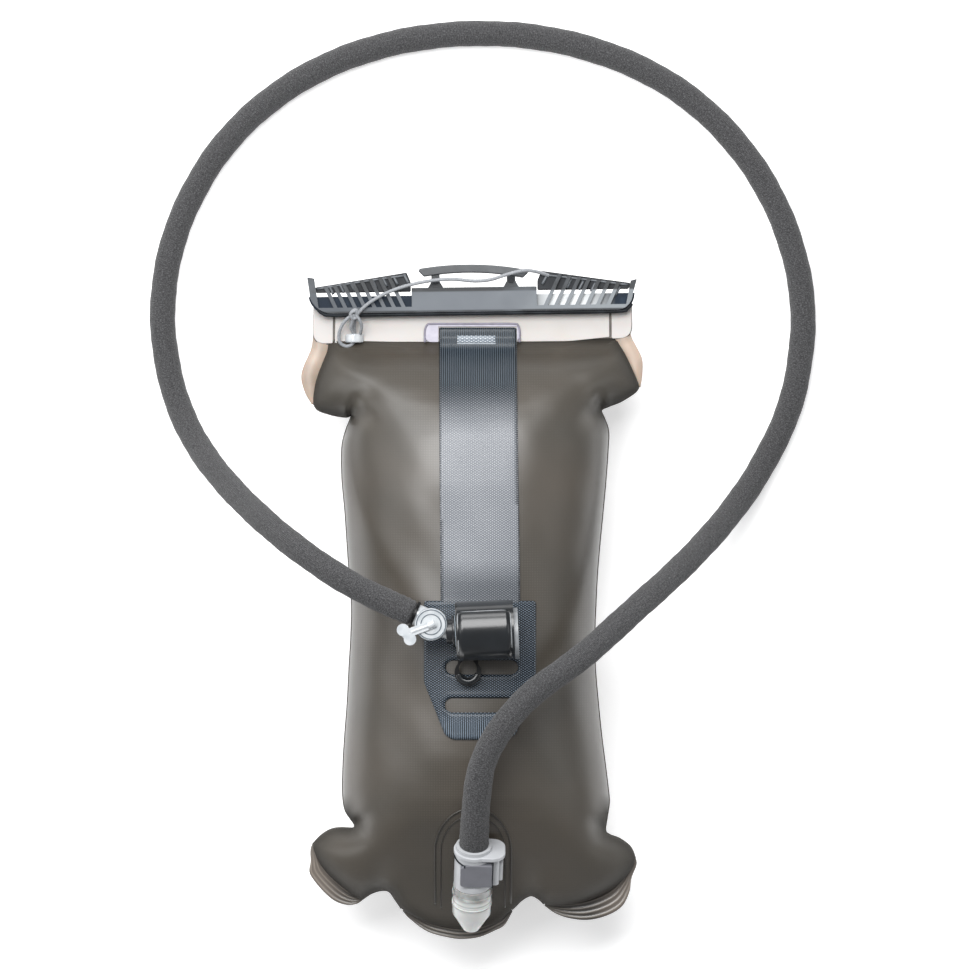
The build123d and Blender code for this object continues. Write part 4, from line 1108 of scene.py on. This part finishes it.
def hose_radius(along, turn):
    """The knitted sleeve's radius: gathered near both ends, slightly uneven between."""
    near = np.minimum(along, hose_length - along)
    gather = np.exp(-((near / 16) ** 2))
    gathers = 0.28 * np.sin(along * 1.9 + 1.2 * np.sin(turn * 2 + along * 0.3)) * gather
    uneven = 0.1 * np.sin(along * 0.21 + 2 * np.sin(turn)) + 0.07 * np.sin(along * 0.63 + turn * 3)
    swell = 0.85 * np.exp(-((along / 48) ** 2))
    tuck = -1.0 * np.exp(-((np.minimum(near, 6) / 1.1) ** 2))
    return HOSE_RADIUS + swell + gathers + uneven + tuck


turns = np.linspace(0, 2 * math.pi, HOSE_SIDES, endpoint=False)
hose_points = []
for place, s, u, along in zip(fine_path, side_dir, up_dir, hose_along):
    for turn in turns:
        x, y, z = place + (s * math.cos(turn) + u * math.sin(turn)) * float(hose_radius(along, turn))
        hose_points.append((x, y, max(z, 0.1)))
hose_faces = tube_faces(len(fine_path), HOSE_SIDES)
hose_nodes = ["hose_sleeve", "hose_tube"]
hose = new_piece("hose_sleeve_look", hose_points, hose_faces, hose_finish, "hose", hose_nodes)
hose_map = hose.data.uv_layers.new(name="UVMap")
for polygon in hose.data.polygons:
    columns = [hose.data.loops[k].vertex_index % HOSE_SIDES for k in polygon.loop_indices]
    wraps = max(columns) == HOSE_SIDES - 1 and min(columns) == 0 and len(columns) == 4
    for k, column in zip(polygon.loop_indices, columns):
        row = hose.data.loops[k].vertex_index // HOSE_SIDES
        turn = column + (HOSE_SIDES if wraps and column == 0 else 0)
        hose_map.data[k].uv = (hose_along[row], turn / HOSE_SIDES * 2 * math.pi * HOSE_RADIUS)


# ---- Hard parts ----
def slider_paint(centre, normal):
    """Picks the pockets behind the ribs, with their painted light and shade, and the strip of painted shade
    along the lower edge of the block's face.
    """
    if normal.z < 0.9 or abs(centre.z - SEAM - 6.5) > 0.3:
        return 0
    return 1 if centre.y > CLOSURE_Y + 3 else 2


dress("slider_channel", slider_finish, 0.35, second=[pocket_light_and_shade_finish, painted_shade_finish], where=slider_paint)
for node, finish, bevel, segments in (
    ("slider_rail_left", rail_finish, 0.5, 2),
    ("slider_rail_right", rail_finish, 0.5, 2),
    ("slider_bridge", bridge_finish, 0.6, 3),
    ("bridge_posts", slider_finish, 0.4, 2),
    ("bridge_rivets", rail_finish, 0.2, 2),
    ("plug_body", plug_finish, 0.35, 2),
    ("release_button", button_finish, 0.4, 2),
    ("port_socket", port_finish, 0.35, 2),
    ("sleeve_ring", rubber_finish, 0.3, 2),
    ("valve_body", clear_finish, 0.3, 2),
    ("shutoff_lever", clear_finish, 0.5, 3),
    ("bite_neck", neck_finish, 0.3, 2),
    ("bite_valve", silicone_finish, 0.4, 2),
    ("cover_leash", rubber_finish, 0.85, 4),
    ("tether_clip", clear_finish, 0.4, 3),
    ("strap_frame", frame_finish, 0.25, 2),
):
    dress(node, finish, bevel, segments)
for node, finish in (
    ("port_inner_flange", port_finish),
    ("valve_poppet", plug_finish),
    ("poppet_spring", steel_finish),
    ("button_spring", steel_finish),
    ("plug_o_ring", rubber_finish),
    ("lever_o_ring", rubber_finish),
):
    nodes[node].data.materials.clear()
    nodes[node].data.materials.append(finish.material)

# Rings on the shut-off valve and its lever, dark as painted shade at the clear plastic's edges, and the
# lever's ridge and crest.
KEY = (-20.7, -11.0)  # the lever's stem in plan
KEY_TOP = 119.1
for name, radius, height, body in (
    ("valve_line_75", 7.5, KEY_TOP + 0.05, "lever"),
    ("valve_line_52", 5.2, KEY_TOP, "lever"),
    ("valve_line_82", 8.15, KEY_TOP - 2.5, "hose"),
):
    turns = np.arange(12) * math.pi / 6
    ring = [(KEY[0] + radius * math.cos(t), KEY[1] + radius * math.sin(t), height) for t in turns]
    bead(name, ring, 0.3, clear_edge_shade_finish, body, steps=6, closed=True)
ARM = (math.cos(math.radians(201)), math.sin(math.radians(201)))
for name, reach, radius in (("lever_ridge_look", (-1.5, 11.5), 1.0), ("lever_crest_look", (-1.8, 1.8), 2.0)):
    ridge = [(KEY[0] + ARM[0] * r, KEY[1] + ARM[1] * r, KEY_TOP + 0.8) for r in np.linspace(*reach, 4)]
    bead(name, ridge, radius, clear_finish, "lever", steps=4, sides=14)

# The slider's lower edge, a dark bead of painted shade, the teeth over its rails and the rails' edges.
SLIDER_TOP = SEAM + 6.9
lower_edge = [
    (-80.2, 152.2), (-77.5, 149.9), (-72, 148.9), (-40, 149.2), (0, 149.8), (40, 150.3), (76, 151.0),
    (81, 152.4), (83.4, 155),
]
bead("slider_lower_edge", [(x, y, SLIDER_TOP + 0.4) for x, y in lower_edge], 0.95, painted_shade_finish, "slider")
for side, sign, teeth, rail_edge in (
    ("left", -1, np.linspace(-74, -35, 8), [(-80.5, 162.5), (-57, 166.3), (-35, 169.5)]),
    ("right", 1, np.linspace(39, 77, 7), [(36, 170.1), (59, 167.5), (81.5, 164.7)]),
):
    # The teeth and the rails' edges carry the painted highlight.
    for number, x in enumerate(teeth):
        top = CLOSURE_Y + 19.5 - 0.15 * (abs(x) - 55)
        foot = (x - sign * 2.2, top - 6.4, SLIDER_TOP)
        tip = (x + sign * 0.2, top - 1.8, SLIDER_TOP - 0.3)
        middle = tuple((a + b) / 2 for a, b in zip(foot, tip))
        name = "rail_tooth_%s_%d" % (side, number)
        bead(name, [foot, middle, tip], 0.75, tooth_highlight_finish, "slider", steps=2)
    bead("rail_edge_" + side, [(x, y, SLIDER_TOP) for x, y in rail_edge], 0.55, tooth_highlight_finish, "slider")

# The dust cover, and the bulb on its leash.
COVER = np.array([-8.5, -14.6, 110.8])
COVER_AHEAD = np.array([math.cos(math.radians(2.5)), math.sin(math.radians(2.5)), 0])
COVER_DOWN = np.array([COVER_AHEAD[1], -COVER_AHEAD[0], 0])
COVER_RADIUS = 15.0
COVER_LENGTH = 30.5


def on_cover(along, degrees, radius=COVER_RADIUS):
    """A place on the cover's side, degrees round from its top towards the bag's foot."""
    turn = math.radians(degrees)
    side = COVER_DOWN * math.sin(turn) + np.array([0, 0, math.cos(turn)])
    return tuple(COVER + COVER_AHEAD * along + side * radius)


def cover_paint(centre, normal):
    """Picks the disc on the cover's closed end, painted light grey as a highlight."""
    return 1 if (np.array(centre) - COVER) @ COVER_AHEAD > COVER_LENGTH - 0.05 else 0


dress("dust_cover", cover_finish, 0.5, 3, second=[cover_rim_highlight_finish], where=cover_paint)
# The raised panel's edge as (along, degrees round).
PANEL_EDGE = [
    (1.6, 78), (1.6, 30), (1.6, -20), (2.0, -35), (3.6, -39.5), (12, -40.5), (24, -40.5), (27.2, -38),
    (28.6, -32), (28.9, -10), (28.9, 30), (28.9, 78),
]
edge = [on_cover(*place) for place in PANEL_EDGE]
# The panel's edge is painted light grey as a highlight.
bead("cover_panel_line", edge, 0.42, cover_rim_highlight_finish, "dust_cover", steps=6)
degrees = np.linspace(-39, 80, 32)
skin = [on_cover(a, d, COVER_RADIUS + 0.32) for a in np.linspace(1.9, 28.6, 12) for d in degrees]
thicken(new_piece("cover_panel", skin, grid_faces(12, 32), cover_finish, "dust_cover"), 0.6, offset=0)
LEASH = (-1.8, -35.5, 98.5)
bulb = [
    (LEASH[0] + 5.2 * math.cos(t), LEASH[1] + 5.2 * math.sin(t), LEASH[2])
    for t in np.linspace(math.radians(195), math.radians(345), 7)
]
bead("leash_bulb_look", bulb, 1.75, cover_finish, "dust_cover", steps=5, sides=16)


# ---- Details of the plug, in the port's own directions ----
def port_place(x, y, z):
    """World place in mm of a place in the port's directions; y points down, z out of the mouth."""
    across = np.array([1, 0, 0]) - PORT_AXIS * PORT_AXIS[0]
    across /= np.linalg.norm(across)
    return tuple(PORT / MM + across * x + np.cross(PORT_AXIS, across) * y + PORT_AXIS * z)


def port_slab(name, outline, low, high, finish, bevel):
    """A slab on top of the plug: an outline of (x, z) between two depths."""
    prism(name, *([port_place(x, y, z) for x, z in outline] for y in (high, low)), finish, "hose", bevel)


panel_outline = rounded([
    (-6.6, 4.8, 2.0), (9.8, 4.8, 0.8), (9.8, 18.0, 0.8), (-3.6, 18.0, 0.8), (-6.6, 16.2, 0.8),
])
port_slab("plug_panel_look", panel_outline, -10.1, -6.4, panel_finish, 0.4)
# Painted shade: a dark slab in the slit by the panel, and dark beads for the crescent and the spot at its
# end.
slit_outline = [(9.9, 4.4), (10.35, 4.4), (10.35, 18.2), (9.9, 18.2)]
port_slab("plug_slit_look", slit_outline, -9.5, -5.5, painted_shade_finish, 0.05)
CRESCENT_RADIUS = 9.75
crescent = []
for degrees in (2, 12, 22, 32, 42, 52, 60):
    turn = math.radians(degrees)
    across, down = -CRESCENT_RADIUS * math.cos(turn), -CRESCENT_RADIUS * math.sin(turn)
    crescent.append(port_place(across, down, 19.0 - degrees * 0.035))
bead("plug_crescent_look", crescent, 0.5, painted_shade_finish, "hose", steps=4)
pin = [port_place(*place) for place in ((-4.6, -9.4, 16.9), (-4.3, -9.5, 17.0), (-4.0, -9.6, 17.0))]
bead("plug_pin_look", pin, 0.85, painted_shade_finish, "hose", steps=2)

# The tether's end: a loop through the clip, tied in a knot, and the strand between them.
LOOP = [
    (-61.0, 149.0, 57.3), (-64.6, 147.0, 56.6), (-67.6, 143.2, 54.6), (-69.0, 138.6, 52.2),
    (-68.2, 134.4, 50.6), (-64.8, 132.8, 50.0), (-61.6, 134.6, 49.6), (-60.6, 138.0, 50.2),
    (-62.6, 142.0, 53.6), (-61.8, 146.0, 56.2),
]
KNOT = [
    (-58.6, 149.6, 57.9), (-60.2, 151.6, 58.2), (-62.2, 150.4, 57.0), (-61.4, 147.8, 56.4),
    (-59.4, 148.6, 57.6), (-60.4, 151.0, 59.0), (-62.8, 149.6, 58.6), (-61.8, 147.2, 57.6),
    (-59.6, 147.6, 57.0),
]
STRAND = [
    (-60.4, 149.4, 58.0), (-58.0, 146.0, 57.0), (-57.2, 142.4, 54.4), (-58.2, 138.6, 50.6),
    (-59.6, 136.4, 49.4),
]
bead("tether_loop", LOOP, 0.9, tether_finish, "reservoir", closed=True)
bead("tether_knot", KNOT, 0.9, tether_finish, "reservoir")
bead("tether_strand", STRAND, 0.85, tether_finish, "reservoir")

TETHER_ROUTE = [
    (0.0400, 0.1696, 0.0525), (0.0310, 0.1730, 0.0578), (0.0200, 0.1706, 0.0584),
    (0.0060, 0.1658, 0.0584), (-0.0130, 0.1682, 0.0584), (-0.0340, 0.1646, 0.0584),
    (-0.0500, 0.1580, 0.0584), (-0.0600, 0.1496, 0.0564), (-0.0614, 0.1426, 0.0506),
    (-0.0610, 0.1348, 0.0492),
]
tether = add("tether_cord_look", nurbs_mesh("tether_cord_look", TETHER_ROUTE, 0.0009))
tether.data.materials.append(tether_finish.material)
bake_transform(tether, "reservoir", "slider", start=(-0.061, 0.138, 0.05), end=(0.036, 0.17, 0.055))
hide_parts("tether_cord")
[tuple(v.co) for v in nurbs_mesh("tether_line", TETHER_ROUTE).vertices]

# ---- Floor, light and camera ----
floor_finish = Finish("floor", "f4f4f4", 0.95, IOR=1.1, Emission_Color=(1, 1, 1, 1), Emission_Strength=0.42)
FLOOR_REACH, FLOOR_Z = 12, -0.0004
corners = [(x * FLOOR_REACH, y * FLOOR_REACH, FLOOR_Z) for x, y in ((-1, -1), (1, -1), (1, 1), (-1, 1))]
floor_mesh = bpy.data.meshes.new("floor")
floor_mesh.from_pydata(corners, [], [(0, 1, 2, 3)])
floor_mesh.materials.append(floor_finish.material)
add("floor", floor_mesh)

world = bpy.data.worlds.new("studio")
world.use_nodes = True
background = world.node_tree.nodes["Background"].inputs
background["Color"].default_value = (0.97, 0.98, 1.0, 1)
background["Strength"].default_value = 0.36
scene.world = world


def soft_light(name, place, target, width, height, power):
    """A rectangular lamp unseen by the camera, at a place in metres and turned to a target."""
    light = bpy.data.lights.new(name, "AREA")
    light.shape = "RECTANGLE"
    light.size = width
    light.size_y = height
    light.energy = power
    lamp = add(name, light)
    lamp.location = place
    lamp.rotation_mode = "QUATERNION"
    lamp.rotation_quaternion = (Vector(target) - Vector(place)).to_track_quat("-Z", "Y")
    lamp.visible_camera = False


soft_light("key", (-0.22, 0.62, 1.42), (0, 0.03, 0.05), 1.35, 0.8, 30)
soft_light("fill_left", (-2.6, 0.4, 1.9), (0, 0, 0), 1.6, 1.6, 14)
soft_light("fill_right", (2.6, 0.2, 2.2), (0, 0, 0), 1.6, 1.6, 7)
soft_light("back_strip", (-0.5, 2.2, 1.6), (0, 0.05, 0.05), 1.8, 0.6, 20)

CAMERA_HEIGHT = 5.0
VIEW_WIDTH = 0.5044  # what the picture spans, CAMERA_HEIGHT below the camera
SENSOR = 36
camera_data = bpy.data.cameras.new("camera")
camera_data.sensor_width = SENSOR
camera_data.lens = SENSOR * CAMERA_HEIGHT / VIEW_WIDTH
camera_data.clip_end = 50
camera = add("camera", camera_data)
camera.location = (0.0070, 0.0606, 0.055 + CAMERA_HEIGHT)
scene.camera = camera
scene.view_settings.view_transform = "Standard"
